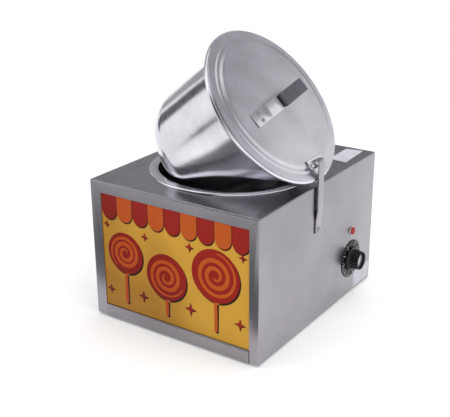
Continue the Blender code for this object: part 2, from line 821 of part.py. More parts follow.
# Tilt strap: flat on the side, stepped out past the lid's edge, with an arm over the bracket
lid_edge = kettle_offset + lid_radius * math.cos(tilt) + lid_flange_top * math.sin(tilt)
flat_line = half_width + fit_gap + tilt_strap_thickness / 2
clear_line = lid_edge + lid_clearance + tilt_strap_thickness / 2
arm_lift = bracket_top + arm_clearance
arm_end = (
    kettle_offset + arm_place * math.cos(tilt) + arm_lift * math.sin(tilt),
    kettle_z - arm_place * math.sin(tilt) + arm_lift * math.cos(tilt),
)
strap_path = [
    Vector((flat_line, deck - tilt_strap_drop)),
    Vector((flat_line, deck - joggle_low)),
    Vector((clear_line, deck - joggle_high)),
    *rounded([(clear_line, deck), (clear_line, arm_end[1] + arm_dip), arm_end], arm_bend, 5),
]
tilt_strap = strip("tilt_strap", strap_path, tilt_strap_width, tilt_strap_thickness, stainless, well_frame)
round_edges(tilt_strap, small_bevel, 1)
cut(tilt_strap, strap_hole)
strap_face = tilt_strap_thickness + 2 * fit_gap
turned("strap_screw", [
    (0.0, strap_face + screw_head_height),
    (screw_head_radius * 0.6, strap_face + screw_head_height * 0.8),
    (screw_head_radius, strap_face + screw_head_height * 0.2),
    (screw_head_radius, strap_face),
    (screw_radius, strap_face),
    (screw_radius, -sheet_cut),
    (0.0, -sheet_cut),
], polished_steel, cabinet_frame, (half_width, well_y, strap_screw_z), side_turn, sides=16)

# Dial plate
dial = cylinder("dial_plate", dial_radius, fit_gap, fit_gap + dial_thickness, dial_print, dial_frame, sides=48)
dial_hole = cylinder(
    "dial hole", shaft_radius + sheet, -cut_overrun, fit_gap + dial_thickness + cut_overrun, parent=dial_frame,
    sides=20,
)
cut(dial, dial_hole)

# Thermostat behind the panel
inside = -(sheet + fit_gap)
thermostat = block(
    "thermostat_body", (-thermostat_height / 2, -thermostat_width / 2, inside - thermostat_depth),
    (thermostat_height / 2, thermostat_width / 2, inside), black_plastic, dial_frame,
)
cut(thermostat, cylinder(
    "shaft socket", shaft_radius + fit_gap, inside - shaft_depth, cut_overrun, parent=dial_frame, sides=20
))

# Knob, its bright cap and the shaft turn together
bore_top = shaft_length + fit_gap
knob = turned("control_knob", [
    (0.0, control_reach - cap_thickness),
    (cap_radius + fit_gap, control_reach - cap_thickness),
    (cap_radius + fit_gap, control_reach),
    (knob_top_radius - knob_edge / 2, control_reach),
    (knob_top_radius, control_reach - knob_edge),
    (knob_neck_radius, knob_base + knob_skirt + knob_edge),
    (knob_radius - knob_edge, knob_base + knob_skirt),
    (knob_radius, knob_base + knob_skirt - knob_edge),
    (knob_radius, knob_base),
    (shaft_radius + fit_gap, knob_base),
    (shaft_radius + fit_gap, bore_top),
    (0.0, bore_top),
], black_plastic, dial_frame, sides=28)
cylinder(
    "knob_cap", cap_radius, control_reach - cap_thickness + fit_gap, control_reach, satin_aluminium, dial_frame,
)
cylinder(
    "thermostat_shaft", shaft_radius, inside - shaft_depth + fit_gap, shaft_length, zinc_steel, dial_frame, sides=20
)

# Bulb and capillary: the bulb stands against the liner's wall
bulb_distance = liner_outer + fit_gap + bulb_radius
bulb_x = bulb_distance * math.cos(bulb_angle)
bulb_y = well_y + bulb_distance * math.sin(bulb_angle)
bulb_top = deck - bulb_drop
bulb_bottom = bulb_top - bulb_length
capillary_start = side_inner - fit_gap - thermostat_depth - fit_gap
capillary_path = rounded([
    (capillary_start, controls_y, dial_z),
    (capillary_start - capillary_reach, controls_y, dial_z),
    (bulb_x, bulb_y, dial_z),
    (bulb_x, bulb_y, bulb_bottom),
], capillary_bend)
bulb_share = bulb_radius / capillary_radius
bulb_path = [
    (bulb_x, bulb_y, bulb_bottom + capillary_radius), (bulb_x, bulb_y, bulb_top - capillary_radius),
    (bulb_x, bulb_y, bulb_top),
]
tube(
    "thermostat_bulb", [*capillary_path, *bulb_path], capillary_radius, copper, cabinet_frame,
    [1.0] * len(capillary_path) + [bulb_share, bulb_share, bulb_share / 2],
)

# Pilot lamp: bezel and lens outside, body inside
turned("pilot_bezel", [
    (lens_radius + fit_gap, fit_gap + bezel_height),
    (bezel_radius - small_bevel, fit_gap + bezel_height),
    (bezel_radius, fit_gap + bezel_height - small_bevel),
    (bezel_radius, fit_gap),
    (lens_radius + fit_gap, fit_gap),
], polished_steel, pilot_frame, sides=20, ring=True)
lens_straight = fit_gap + bezel_height
turned("pilot_lens", [
    (0.0, fit_gap + lens_height),
    (lens_radius * 0.5, lens_straight + (lens_height - bezel_height) * 0.86),
    (lens_radius * 0.87, lens_straight + (lens_height - bezel_height) * 0.5),
    (lens_radius, lens_straight),
    (lens_radius, fit_gap),
    (lens_stem_radius, fit_gap),
    (lens_stem_radius, -sheet),
    (0.0, -sheet),
], red_lens, pilot_frame, sides=20)
cylinder(
    "pilot_body", lens_radius, inside - pilot_body_length, inside, black_plastic, pilot_frame, sides=20
)

# Cord inlet in the back panel
gland_inner = -sheet - fit_gap
turned("cord_gland", [
    (gland_bore, fit_gap + gland_proud),
    (gland_flange - small_bevel, fit_gap + gland_proud),
    (gland_flange, fit_gap + gland_proud - small_bevel),
    (gland_flange, fit_gap),
    (gland_neck, fit_gap),
    (gland_neck, gland_inner),
    (gland_flange - sheet, gland_inner),
    (gland_flange - sheet, gland_inner - gland_nut),
    (gland_bore, gland_inner - gland_nut),
], black_plastic, gland_frame, sides=20, ring=True)
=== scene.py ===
import math

import bmesh
import bpy
from mathutils import Matrix, Quaternion, Vector


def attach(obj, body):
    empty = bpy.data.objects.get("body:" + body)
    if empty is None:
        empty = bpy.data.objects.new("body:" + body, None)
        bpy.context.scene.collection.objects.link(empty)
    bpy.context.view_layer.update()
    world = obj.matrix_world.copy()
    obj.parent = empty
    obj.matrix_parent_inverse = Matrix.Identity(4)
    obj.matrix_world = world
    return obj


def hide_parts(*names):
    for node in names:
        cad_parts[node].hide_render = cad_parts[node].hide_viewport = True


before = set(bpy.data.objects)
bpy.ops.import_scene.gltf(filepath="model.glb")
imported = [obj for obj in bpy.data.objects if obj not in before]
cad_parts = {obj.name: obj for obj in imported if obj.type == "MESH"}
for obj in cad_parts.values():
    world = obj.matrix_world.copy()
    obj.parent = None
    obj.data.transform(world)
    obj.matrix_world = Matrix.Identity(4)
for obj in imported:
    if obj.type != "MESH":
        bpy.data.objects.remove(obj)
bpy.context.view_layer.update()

mm = 0.001

# The cabinet's own centre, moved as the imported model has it, in millimetres
cabinetShift = Vector((-11.3, -0.65, 0.0))

# Sizes shared by several pieces. Here and in the pieces' dictionaries they are in millimetres.
size = {
    "halfWidth": 167.5,
    "halfDepth": 197.5,
    "deck": 252.0,
    "body": 4.0,  # lower edge of the sheet above the table
    "sheet": 1.2,
    "wellY": -17.5,
    "controlsY": 114.0,
    "dialDrop": 180.3,  # below the deck
    "pilotDrop": 126,
    "backY": 196.0,
    "inlet": (105, 44),
    "ringTop": 256.2,
    "ringBore": 128.0,
    "tilt": math.radians(51.6),
    "kettleX": 78.5,
    "kettleSeat": 121.3,  # the kettle's radius and its gap to the ring
}
tilt = size["tilt"]
deck = size["deck"]
size["kettleZ"] = size["ringTop"] + (
    size["kettleSeat"] - (size["ringBore"] - size["kettleX"]) * math.cos(tilt)
) / math.sin(tilt)


# A frame given in the cabinet's own millimetres
def frameAt(x, y, z, turn=None):
    return Matrix.Translation((Vector((x, y, z)) + cabinetShift) * mm) @ (turn or Matrix.Identity(4))


sideTurn = Matrix.Rotation(math.pi / 2, 4, "Y")
backTurn = Matrix.Rotation(-math.pi / 2, 4, "X")
cabinetFrame = frameAt(0, 0, 0)
wellFrame = frameAt(0, size["wellY"], 0)
kettleFrame = frameAt(size["kettleX"], size["wellY"], size["kettleZ"], Matrix.Rotation(tilt, 4, "Y"))
dialFrame = frameAt(size["halfWidth"], size["controlsY"], deck - size["dialDrop"], sideTurn)
pilotFrame = frameAt(size["halfWidth"], size["controlsY"], deck - size["pilotDrop"], sideTurn)


# An sRGB hex colour as linear light with alpha
def hexColour(text):
    values = [int(text[i:i + 2], 16) / 255 for i in (1, 3, 5)]
    return (*[v / 12.92 if v <= 0.04045 else ((v + 0.055) / 1.055) ** 2.4 for v in values], 1.0)


# Adds a node with its settings. An input takes a value, a socket, or a node's first output.
def addNode(tree, kind, inputs=None, **settings):
    node = tree.nodes.new(kind)
    for name, value in settings.items():
        setattr(node, name, value)
    for key, value in (inputs or {}).items():
        if isinstance(value, bpy.types.Node):
            value = value.outputs[0]
        if isinstance(value, bpy.types.NodeSocket):
            tree.links.new(value, node.inputs[key])
        else:
            node.inputs[key].default_value = value
    return node


def newMaterial(name, colour, roughness, metallic=0.0, **sockets):
    material = bpy.data.materials.new(name)
    material.use_nodes = True
    shader = material.node_tree.nodes["Principled BSDF"]
    shader.inputs["Base Color"].default_value = hexColour(colour)
    shader.inputs["Roughness"].default_value = roughness
    shader.inputs["Metallic"].default_value = metallic
    for key, value in sockets.items():
        shader.inputs[key.replace("_", " ")].default_value = value
    return material, material.node_tree, shader


# Links the base colour between two hex colours, and the roughness where a noise is given for it
def shade(tree, shader, colourBy, dark, light, roughBy=None, rough=(0, 1), colourFrom=(0.3, 0.7)):
    share = addNode(tree, "ShaderNodeMapRange", {
        "Value": colourBy, "From Min": colourFrom[0], "From Max": colourFrom[1],
    })
    colour = addNode(tree, "ShaderNodeMix", {
        0: share, 6: hexColour(dark), 7: hexColour(light),
    }, data_type="RGBA")
    tree.links.new(colour.outputs[2], shader.inputs["Base Color"])
    if roughBy:
        gloss = addNode(tree, "ShaderNodeMapRange", {
            "Value": roughBy, "From Min": 0.3, "From Max": 0.7, "To Min": rough[0], "To Max": rough[1],
        })
        tree.links.new(gloss.outputs[0], shader.inputs["Roughness"])


# Rolled or brushed sheet metal. Grain along each axis, relief and clouds are in millimetres.
# Real brush marks are about 0.1 mm apart, so they are drawn ten times as wide to show at all.
def brushedSheet(name, dark, light, roughness, grain, depth=0.02, cloud=143, fineShare=0.16):
    material, tree, shader = newMaterial(name, light, roughness, 1.0)
    place = addNode(tree, "ShaderNodeTexCoord").outputs["Object"]
    lines = addNode(tree, "ShaderNodeMapping", {"Vector": place, "Scale": [1000 / step for step in grain]})
    fine = addNode(tree, "ShaderNodeTexNoise", {
        "Vector": lines, "Scale": 1.0, "Detail": 4.0, "Roughness": 0.6,
    })
    broad = addNode(tree, "ShaderNodeTexNoise", {"Vector": place, "Scale": 1000 / cloud, "Detail": 2.0})
    faint = addNode(tree, "ShaderNodeMath", {0: fine, 1: fineShare}, operation="MULTIPLY")
    both = addNode(tree, "ShaderNodeMath", {
        0: broad, 1: 1 - fineShare, 2: faint,
    }, operation="MULTIPLY_ADD")
    shade(tree, shader, both, dark, light, fine, (roughness - 0.03, roughness + 0.05))
    if depth:
        relief = addNode(tree, "ShaderNodeBump", {"Height": fine, "Distance": depth * mm, "Strength": 0.06})
        tree.links.new(relief.outputs[0], shader.inputs["Normal"])
    return material


# Metal spun or turned about its local Z. Tool rings are a few tenths of a millimetre apart and are
# drawn wider, at the given spacing, so that they show. Each one fades in and out round the piece.
def spunMetal(name, dark, light, roughness, ringSpacing, depth, cloud=55.6, fades=0.7):
    material, tree, shader = newMaterial(name, light, roughness, 1.0)
    place = addNode(tree, "ShaderNodeAttribute", attribute_name="local").outputs["Vector"]
    parts = addNode(tree, "ShaderNodeSeparateXYZ", {"Vector": place}).outputs
    flat = addNode(tree, "ShaderNodeCombineXYZ", {"X": parts["X"], "Y": parts["Y"]})
    radius = addNode(tree, "ShaderNodeVectorMath", {0: flat}, operation="LENGTH").outputs["Value"]
    along = addNode(tree, "ShaderNodeMath", {0: radius, 1: parts["Z"]}, operation="SUBTRACT")
    around = addNode(tree, "ShaderNodeMath", {0: parts["Y"], 1: parts["X"]}, operation="ARCTAN2")
    tape = addNode(tree, "ShaderNodeCombineXYZ", {
        "X": addNode(tree, "ShaderNodeMath", {0: along, 1: 1000 / ringSpacing}, operation="MULTIPLY"),
        "Y": addNode(tree, "ShaderNodeMath", {0: around, 1: fades}, operation="MULTIPLY"),
    })
    rings = addNode(tree, "ShaderNodeTexNoise", {
        "Vector": tape, "Scale": 1.0, "Detail": 4.0, "Roughness": 0.65,
    })
    smudge = addNode(tree, "ShaderNodeTexNoise", {"Vector": place, "Scale": 1000 / cloud, "Detail": 3.0})
    shade(tree, shader, smudge, dark, light, rings, (roughness - 0.04, roughness + 0.06))
    relief = addNode(tree, "ShaderNodeBump", {"Height": rings, "Distance": depth * mm, "Strength": 0.5})
    tree.links.new(relief.outputs[0], shader.inputs["Normal"])
    return material


# Moulded plastic, rubber, lacquer or paper, with grain, relief and clouds in millimetres. A real
# skin has a grain of 0.1 to 0.3 mm, and it is drawn wider so that it shows.
def moulded(name, dark, light, roughness, grain=1.11, depth=0.04, specular=0.5, cloud=22.2):
    material, tree, shader = newMaterial(name, light, roughness, 0.0, Specular_IOR_Level=specular)
    place = addNode(tree, "ShaderNodeTexCoord").outputs["Object"]
    skin = addNode(tree, "ShaderNodeTexNoise", {"Vector": place, "Scale": 1000 / grain, "Detail": 2.0})
    broad = addNode(tree, "ShaderNodeTexNoise", {"Vector": place, "Scale": 1000 / cloud, "Detail": 2.0})
    shade(tree, shader, broad, dark, light, broad, (roughness - 0.05, roughness + 0.06))
    relief = addNode(tree, "ShaderNodeBump", {"Height": skin, "Distance": depth * mm, "Strength": 0.4})
    tree.links.new(relief.outputs[0], shader.inputs["Normal"])
    return material


# Stainless sheet, brushed from front to back: a soft grey gloss with faint streaks
stainless = brushedSheet("brushed stainless sheet", "#959298", "#a9a6ac", 0.28, (1.11, 71.4, 1.11))
# The same sheet on the rail, brushed along the front, with painted shade: its colour is darker than the
# sheet's
shadedRailSteel = brushedSheet("brushed stainless rail", "#8b888e", "#a3a0a6", 0.28, (71.4, 1.11, 1.11))
# Stainless strip, brushed along its length: a little brighter than the sheet
strapSteel = brushedSheet("brushed stainless strip", "#a19ea4", "#b4b1b7", 0.28, (1.11, 1.11, 50))
# Rolled steel of the inner parts, zinc plated: cloudy and dull
zincSteel = brushedSheet("zinc plated steel", "#a9aaa6", "#c4c5c0", 0.42, (16.7, 16.7, 16.7))
# Aluminium of the kettle, spun and polished: bright bands with streaks round them
kettleMetal = spunMetal("spun aluminium", "#d9d8df", "#eae9f0", 0.15, 2.22, 0.06)
# Aluminium of the lid, pressed and satin finished: pale and evenly soft
lidMetal = spunMetal("satin aluminium", "#c6c3cb", "#dad7df", 0.30, 0.714, 0.02)
# Aluminium of the ring on the deck, turned and polished: a clear bright edge
ringMetal = spunMetal("polished aluminium", "#d5d3da", "#e6e5eb", 0.22, 0.833, 0.01)
# Steel inside the well, spun and left dull: dark, with a broad gloss
linerMetal = spunMetal("spun dull steel", "#8d8a8c", "#a5a2a4", 0.38, 2.0, 0.03)
# Steel of the handle and small fittings, nickel plated: bright and smooth, with no relief
brightSteel = brushedSheet("nickel plated steel", "#cdccd0", "#e1e0e4", 0.18, (16.7, 16.7, 16.7), 0)
# Copper of the bulb and its capillary, drawn: warm and slightly dull
copper = brushedSheet("drawn copper", "#b9744f", "#d08a62", 0.32, (5, 5, 5))
# ABS of the grip, moulded: dark grey with a low sheen
gripPlastic = moulded("moulded grey ABS", "#3f3e46", "#514f58", 0.45)
# Phenolic of the knob and the hidden controls, moulded: near black with clean highlights
blackPlastic = moulded("moulded black phenolic", "#0c0c0e", "#161618", 0.30, specular=0.3)
# Lacquer of the dial plate, sprayed and baked: flat black
dialBlack = moulded("baked black lacquer", "#08080a", "#101013", 0.34, 0.667, 0.01, 0.2)
# Ink on the dial, screen printed: matt and slightly off white
dialWhite = moulded("white screen print", "#d9d9d6", "#ecece9", 0.5)
# Rubber of the feet, moulded: black and matt
rubber = moulded("moulded black rubber", "#121212", "#1e1e1e", 0.75, 1.43, 0.08)
# Nickel alloy sheath of the element, tinted by heat: dull brown
sheath = moulded("heat tinted alloy", "#3a3330", "#57504c", 0.5, 2.0, 0.05)
# Steatite of the terminal block, fired: warm white
ceramic = moulded("fired steatite", "#d5d2cb", "#e7e4dd", 0.45)
# Paper of the blank labels, coated: pale and even
labelPaper = moulded("coated paper", "#bfbec8", "#d2d0d9", 0.5, 2.5, 0.01)


# Puts a mesh, curve, camera or lamp in the scene
def linked(data):
    thing = bpy.data.objects.new(data.name, data)
    bpy.context.scene.collection.objects.link(thing)
    return thing


# Links a mesh as a piece that rides on a body and may stand for CAD nodes
def finished(name, mesh, material, body, replaced=(), smooth=40, keepLocal=None):
    mesh.name = name
    piece = linked(mesh)
    mesh.materials.clear()
    mesh.materials.append(material)
    if keepLocal is not None:
        kept = mesh.attributes.new("local", "FLOAT_VECTOR", "POINT")
        back = keepLocal.inverted()
        for i, vertex in enumerate(mesh.vertices):
            kept.data[i].vector = back @ vertex.co
    if smooth:
        mesh.shade_smooth()
        mesh.set_sharp_from_angle(angle=math.radians(smooth))
    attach(piece, body)
    if replaced:
        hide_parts(*replaced)


def meshFrom(shape, place):
    bmesh.ops.remove_doubles(shape, verts=shape.verts, dist=1e-7)
    bmesh.ops.recalc_face_normals(shape, faces=shape.faces)
    mesh = bpy.data.meshes.new("shape")
    shape.to_mesh(mesh)
    shape.free()
    mesh.transform(place)
    return mesh


def arc(centre, radius, start, end, steps):
    angles = [math.radians(start + (end - start) * i / steps) for i in range(steps + 1)]
    return [(centre[0] + radius * math.cos(a), centre[1] + radius * math.sin(a)) for a in angles]


def ringLoop(x, y, radius, count=32):
    return arc((x, y), radius, 0, 360 - 360 / count, count - 1)


def rectangle(left, low, right, high):
    return [(left, low), (right, low), (right, high), (left, high)]


def moved(loop, dx, dy):
    return [(x + dx, y + dy) for x, y in loop]


# A path with its inner corners turned into arcs. radii is one value or one per inner corner.
def rounded(corners, radii, steps):
    corners = [Vector(c) for c in corners]
    if not isinstance(radii, (list, tuple)):
        radii = [radii] * (len(corners) - 2)
    path = [corners[0]]
    for before, corner, after, radius in zip(corners, corners[1:], corners[2:], radii):
        back = (before - corner).normalized()
        ahead = (after - corner).normalized()
        half = back.angle(ahead) / 2
        centre = corner + (back + ahead).normalized() * radius / math.sin(half)
        first = (corner + back * radius / math.tan(half) - centre).normalized()
        last = (corner + ahead * radius / math.tan(half) - centre).normalized()
        path += [centre + first.slerp(last, i / steps) * radius for i in range(steps + 1)]
    return path + [corners[-1]]


# A profile of (radius, height) in millimetres, turned about the frame's Z
def lathe(profile, place, steps=128, closed=False):
    shape = bmesh.new()
    rings = []
    for radius, height in profile:
        if radius < 1e-6:
            rings.append([shape.verts.new((0, 0, height * mm))] * steps)
            continue
        rings.append([shape.verts.new((
            radius * mm * math.cos(2 * math.pi * i / steps),
            radius * mm * math.sin(2 * math.pi * i / steps),
            height * mm,
        )) for i in range(steps)])
    pairs = list(zip(rings, rings[1:])) + ([(rings[-1], rings[0])] if closed else [])
    for upper, lower in pairs:
        for i in range(steps):
            j = (i + 1) % steps
            corners = []
            for vertex in (upper[i], lower[i], lower[j], upper[j]):
                if vertex not in corners:
                    corners.append(vertex)
            if len(corners) > 2:
                shape.faces.new(corners)
    return meshFrom(shape, place)


# A bent strip with rounded long edges. The path is the strip's middle line across one axis.
def sweptStrip(path, sides, thickness, place, along, edge, steps=3):
    half = thickness / 2
    edge = min(edge, half * 0.95)
    low, high = sides
    section = []
    for centre, start in (((high - edge, half - edge), 90), ((high - edge, -half + edge), 0),
                          ((low + edge, -half + edge), -90), ((low + edge, half - edge), 180)):
        section += arc(centre, edge, start, start - 90, steps)
    path = [Vector(p) for p in path]
    shape = bmesh.new()
    rows = []
    for i, point in enumerate(path):
        before = (point - path[i - 1]).normalized() if i else None
        after = (path[i + 1] - point).normalized() if i < len(path) - 1 else None
        ways = [way for way in (before, after) if way]
        way = sum(ways, Vector((0, 0))).normalized()
        normal = Vector((-way.y, way.x))
        stretch = 1 / max(normal.dot(Vector((-ways[0].y, ways[0].x))), 0.2)
        row = []
        for side, out in section:
            a, b = point + normal * out * stretch
            row.append({"X": (side, a, b), "Y": (a, side, b)}[along])
        rows.append([shape.verts.new(Vector(corner) * mm) for corner in row])
    count = len(section)
    for near, far in zip(rows, rows[1:]):
        for i in range(count):
            j = (i + 1) % count
            shape.faces.new((near[i], near[j], far[j], far[i]))
    shape.faces.new(rows[0])
    shape.faces.new(rows[-1])
    return meshFrom(shape, place)


# The mesh of an object with its modifiers, which then goes
def baked(thing):
    graph = bpy.context.evaluated_depsgraph_get()
    mesh = bpy.data.meshes.new_from_object(thing.evaluated_get(graph))
    old = thing.data
    bpy.data.objects.remove(thing, do_unlink=True)
    if isinstance(old, bpy.types.Mesh):
        bpy.data.meshes.remove(old)
    else:
        bpy.data.curves.remove(old)
    return mesh


# The mesh of closed outlines, filled and thickened by half on each side of the frame's Z = 0
def filledLoops(loops, half, edge=0.0, steps=0):
    curve = bpy.data.curves.new("outline", "CURVE")
    curve.dimensions = "2D"
    curve.fill_mode = "BOTH"
    curve.extrude = half * mm
    curve.bevel_depth = edge * mm
    curve.offset = -edge * mm
    curve.bevel_resolution = steps
    for loop in loops:
        spline = curve.splines.new("POLY")
        spline.points.add(len(loop) - 1)
        for point, (x, y) in zip(spline.points, loop):
            point.co = (x * mm, y * mm, 0, 1)
        spline.use_cyclic_u = True
    return baked(linked(curve))


# A flat plate between two heights, with holes and rounded edges
def flatPlate(outline, holes, low, high, place, edge=0.4, steps=2):
    mesh = filledLoops([outline, *holes], (high - low) / 2 - edge, edge, steps)
    mesh.transform(place @ Matrix.Translation((0, 0, (low + high) / 2 * mm)))
    return mesh


def boxMesh(low, high):
    shape = bmesh.new()
    made = bmesh.ops.create_cube(shape, size=1.0)["verts"]
    low, high = Vector(low), Vector(high)
    bmesh.ops.scale(shape, vec=(high - low) * mm, verts=made)
    bmesh.ops.translate(shape, verts=made, vec=(low + high) / 2 * mm)
    mesh = bpy.data.meshes.new("shape")
    shape.to_mesh(mesh)
    shape.free()
    return mesh


# Cuts tools out of an object, gives the mesh and removes them all
def carve(thing, *tools):
    for tool in tools:
        opening = thing.modifiers.new("cut", "BOOLEAN")
        opening.operation = "DIFFERENCE"
        opening.solver = "EXACT"
        opening.object = tool
    mesh = baked(thing)
    for tool in tools:
        old = tool.data
        bpy.data.objects.remove(tool, do_unlink=True)
        bpy.data.meshes.remove(old)
    return mesh


def roundTool(radius, low, high, place, steps=32):
    return linked(lathe([(0, high), (radius, high), (radius, low), (0, low)], place, steps))


# The plain mesh that a Geometry Nodes tree makes. values holds each input's kind and value.
def grown(name, build, values, material):
    values = {**values, "Material": ("Material", material)}
    tree = bpy.data.node_groups.new(name, "GeometryNodeTree")
    keys = {}
    for label, (kind, value) in values.items():
        socket = tree.interface.new_socket(name=label, in_out="INPUT", socket_type="NodeSocket" + kind)
        keys[label] = socket.identifier
    tree.interface.new_socket(name="Geometry", in_out="OUTPUT", socket_type="NodeSocketGeometry")
    given = addNode(tree, "NodeGroupInput").outputs
    real = addNode(tree, "GeometryNodeRealizeInstances", {"Geometry": build(tree, given)})
    coloured = addNode(tree, "GeometryNodeSetMaterial", {"Geometry": real, "Material": given["Material"]})
    addNode(tree, "NodeGroupOutput", {"Geometry": coloured})
    thing = linked(bpy.data.meshes.new(name))
    growth = thing.modifiers.new("growth", "NODES")
    growth.node_group = tree
    for label, (kind, value) in values.items():
        growth[keys[label]] = value
    return baked(thing)


# Screws of the bracket and the tilt strap, and the cross slot that all screws have
screw = {"radius": 4.4, "height": 2.4, "shank": 2, "slotTurn": 0.4, "slotHalf": 0.45}


# A dome head on the frame's Z = 0 with a cross slot, and a shank down to low
def screwMesh(radius, height, shank, low, place):
    head = linked(lathe([
        (0, height), (radius * 0.45, height * 0.93), (radius * 0.8, height * 0.6),
        (radius * 0.97, height * 0.22), (radius, 0), (shank, 0), (shank, low), (0, low),
    ], Matrix.Identity(4), 40))
    slots = []
    half = screw["slotHalf"]
    for angle in (screw["slotTurn"], screw["slotTurn"] + math.pi / 2):
        slot = boxMesh((-radius * 0.5, -half, height * 0.45), (radius * 0.5, half, height * 2))
        slot.transform(Matrix.Rotation(angle, 4, "Z"))
        slots.append(linked(slot))
    mesh = carve(head, *slots)
    mesh.transform(place)
    return mesh


print("materials and helpers are ready")

# Camera at the photograph's angle, with no shift
camera = {
    "place": (0.793493, -1.216677, 0.739679),
    "turn": (0.78975467, 0.53801891, 0.16906588, 0.24132953),
    "lens": 70.579,
}
cameraData = bpy.data.cameras.new("camera")
cameraData.lens = camera["lens"]
cameraData.sensor_width = 36
cameraData.sensor_fit = "HORIZONTAL"
cameraObject = linked(cameraData)
cameraObject.location = camera["place"]
cameraObject.rotation_mode = "QUATERNION"
cameraObject.rotation_quaternion = Quaternion(camera["turn"])
bpy.context.scene.camera = cameraObject
bpy.context.scene.view_settings.view_transform = "Standard"

# Floor: pale near the object, where it keeps the shadow, and plain white further out. Lift is the
# light that seen rays get from it as well, and distances are in metres.
floor = {"half": 12.0, "colour": "#ebebeb", "lift": 0.22, "whiteFrom": 0.75, "whiteTo": 1.7}


# 1 for camera, glossy and transmission rays, 0 for the rest
def seenRays(tree):
    rays = addNode(tree, "ShaderNodeLightPath").outputs
    first = addNode(tree, "ShaderNodeMath", {
        0: rays["Is Camera Ray"], 1: rays["Is Glossy Ray"],
    }, operation="MAXIMUM")
    return addNode(tree, "ShaderNodeMath", {0: first, 1: rays["Is Transmission Ray"]}, operation="MAXIMUM")


# A stage sheet between two edges of as many points each
def stageSheet(name, lowEdge, highEdge, material):
    mesh = bpy.data.meshes.new(name)
    count = len(lowEdge)
    faces = [(i, i + 1, count + i + 1, count + i) for i in range(count - 1)]
    mesh.from_pydata([*lowEdge, *highEdge], [], faces)
    mesh.materials.append(material)
    thing = linked(mesh)
    return thing


floorMaterial, tree, shader = newMaterial("pale floor", floor["colour"], 0.9)
seen = seenRays(tree)
away = addNode(tree, "ShaderNodeVectorMath", {
    0: addNode(tree, "ShaderNodeTexCoord").outputs["Object"],
}, operation="LENGTH")
far = addNode(tree, "ShaderNodeMapRange", {
    "Value": away.outputs["Value"], "From Min": floor["whiteFrom"], "From Max": floor["whiteTo"],
})
lift = addNode(tree, "ShaderNodeMath", {0: seen, 1: floor["lift"]}, operation="MULTIPLY")
shader.inputs["Emission Color"].default_value = (1, 1, 1, 1)
tree.links.new(lift.outputs[0], shader.inputs["Emission Strength"])
whiteMix = addNode(tree, "ShaderNodeMixShader", {
    0: addNode(tree, "ShaderNodeMath", {0: seen, 1: far}, operation="MULTIPLY"),
    1: shader,
    2: addNode(tree, "ShaderNodeEmission", {"Color": (1, 1, 1, 1), "Strength": 1.0}),
})
tree.links.new(whiteMix.outputs[0], tree.nodes["Material Output"].inputs["Surface"])
half = floor["half"]
stageSheet("floor", [(-half, -half, 0), (half, -half, 0)], [(-half, half, 0), (half, half, 0)],
           floorMaterial)

# Studio screens that only reflections show: from and to in degrees round the object, then the
# distance and the low and high edges in metres, and the colour
screens = {
    "dark screen": (-136, -78, 2.6, 0.02, 2.6, "#2c2c2f"),
    "slim screen": (169, 186, 2.6, 0.35, 2.0, "#545458"),
    "low grey screen": (127, 162, 2.6, 0.42, 1.7, "#a6a6a9"),
    "low pale screen": (76, 127, 2.6, 0.3, 1.5, "#8e8e91"),
    "grey surround": (-180, 180, 3.2, 1.85, 6.2, "#cfcfd2"),
}
# A dark mat on the floor in front, seen only in reflections: painted shade of the floor there. Its edges and
# height are in metres.
mat = {"left": -1.3, "right": 0.5, "front": -0.66, "back": -0.3, "height": 0.001, "colour": "#66666a"}


def addScreen(name, lowEdge, highEdge, colour):
    screen = stageSheet(name, lowEdge, highEdge, newMaterial(name, colour, 0.95)[0])
    screen.visible_camera = False
    screen.visible_diffuse = False
    screen.visible_shadow = False


for name, (start, end, distance, low, high, colour) in screens.items():
    edge = arc((0, 0), distance, start, end, 32)
    addScreen(name, [(x, y, low) for x, y in edge], [(x, y, high) for x, y in edge], colour)
addScreen("dark mat", [(x, mat["front"], mat["height"]) for x in (mat["left"], mat["right"])],
          [(x, mat["back"], mat["height"]) for x in (mat["left"], mat["right"])], mat["colour"])

# Softboxes: place and width in metres, power in watts, and whether gloss shows them
softboxes = {
    "key softbox": ((-1.8, -1.6, 2.4), 2.4, 18, True),
    "right softbox": ((2.5, -0.5, 1.7), 3.0, 36, False),
    "top softbox": ((0.2, 0.5, 2.9), 3.4, 54, False),
}
lightTarget = Vector((0, 0, 0.2))
for name, (place, width, power, glossy) in softboxes.items():
    lamp = bpy.data.lights.new(name, "AREA")
    lamp.size = width
    lamp.energy = power
    light = linked(lamp)
    light.location = place
    light.rotation_euler = (lightTarget - Vector(place)).to_track_quat("-Z", "Y").to_euler()
    light.visible_glossy = glossy

# World: white behind the object and in its gloss, a soft grey light on its dull surfaces
worldValues = {"seen": 1.0, "light": 0.5}
world = bpy.data.worlds.new("studio")
bpy.context.scene.world = world
world.use_nodes = True
tree = world.node_tree
tree.nodes.clear()
worldMix = addNode(tree, "ShaderNodeMixShader", {
    0: seenRays(tree),
    1: addNode(tree, "ShaderNodeBackground", {"Color": (1, 1, 1, 1), "Strength": worldValues["light"]}),
    2: addNode(tree, "ShaderNodeBackground", {"Color": (1, 1, 1, 1), "Strength": worldValues["seen"]}),
})
addNode(tree, "ShaderNodeOutputWorld", {"Surface": worldMix})
print("camera, floor and lights are ready")

# Cabinet shell with its opening, well hole, mitre seams and holes for the controls
shell = {
    "edge": 2.6,
    "leftStrip": 22.5,
    "rightStrip": 17.5,
    "topStrip": 20,
    "rearFlange": 16,
    "wellHole": 131,
    "shaftHole": 4.2,
    "lampHole": 5.6,
    "seam": 0.22,  # half the width of a mitre seam
    "seamInset": 3.5,
}


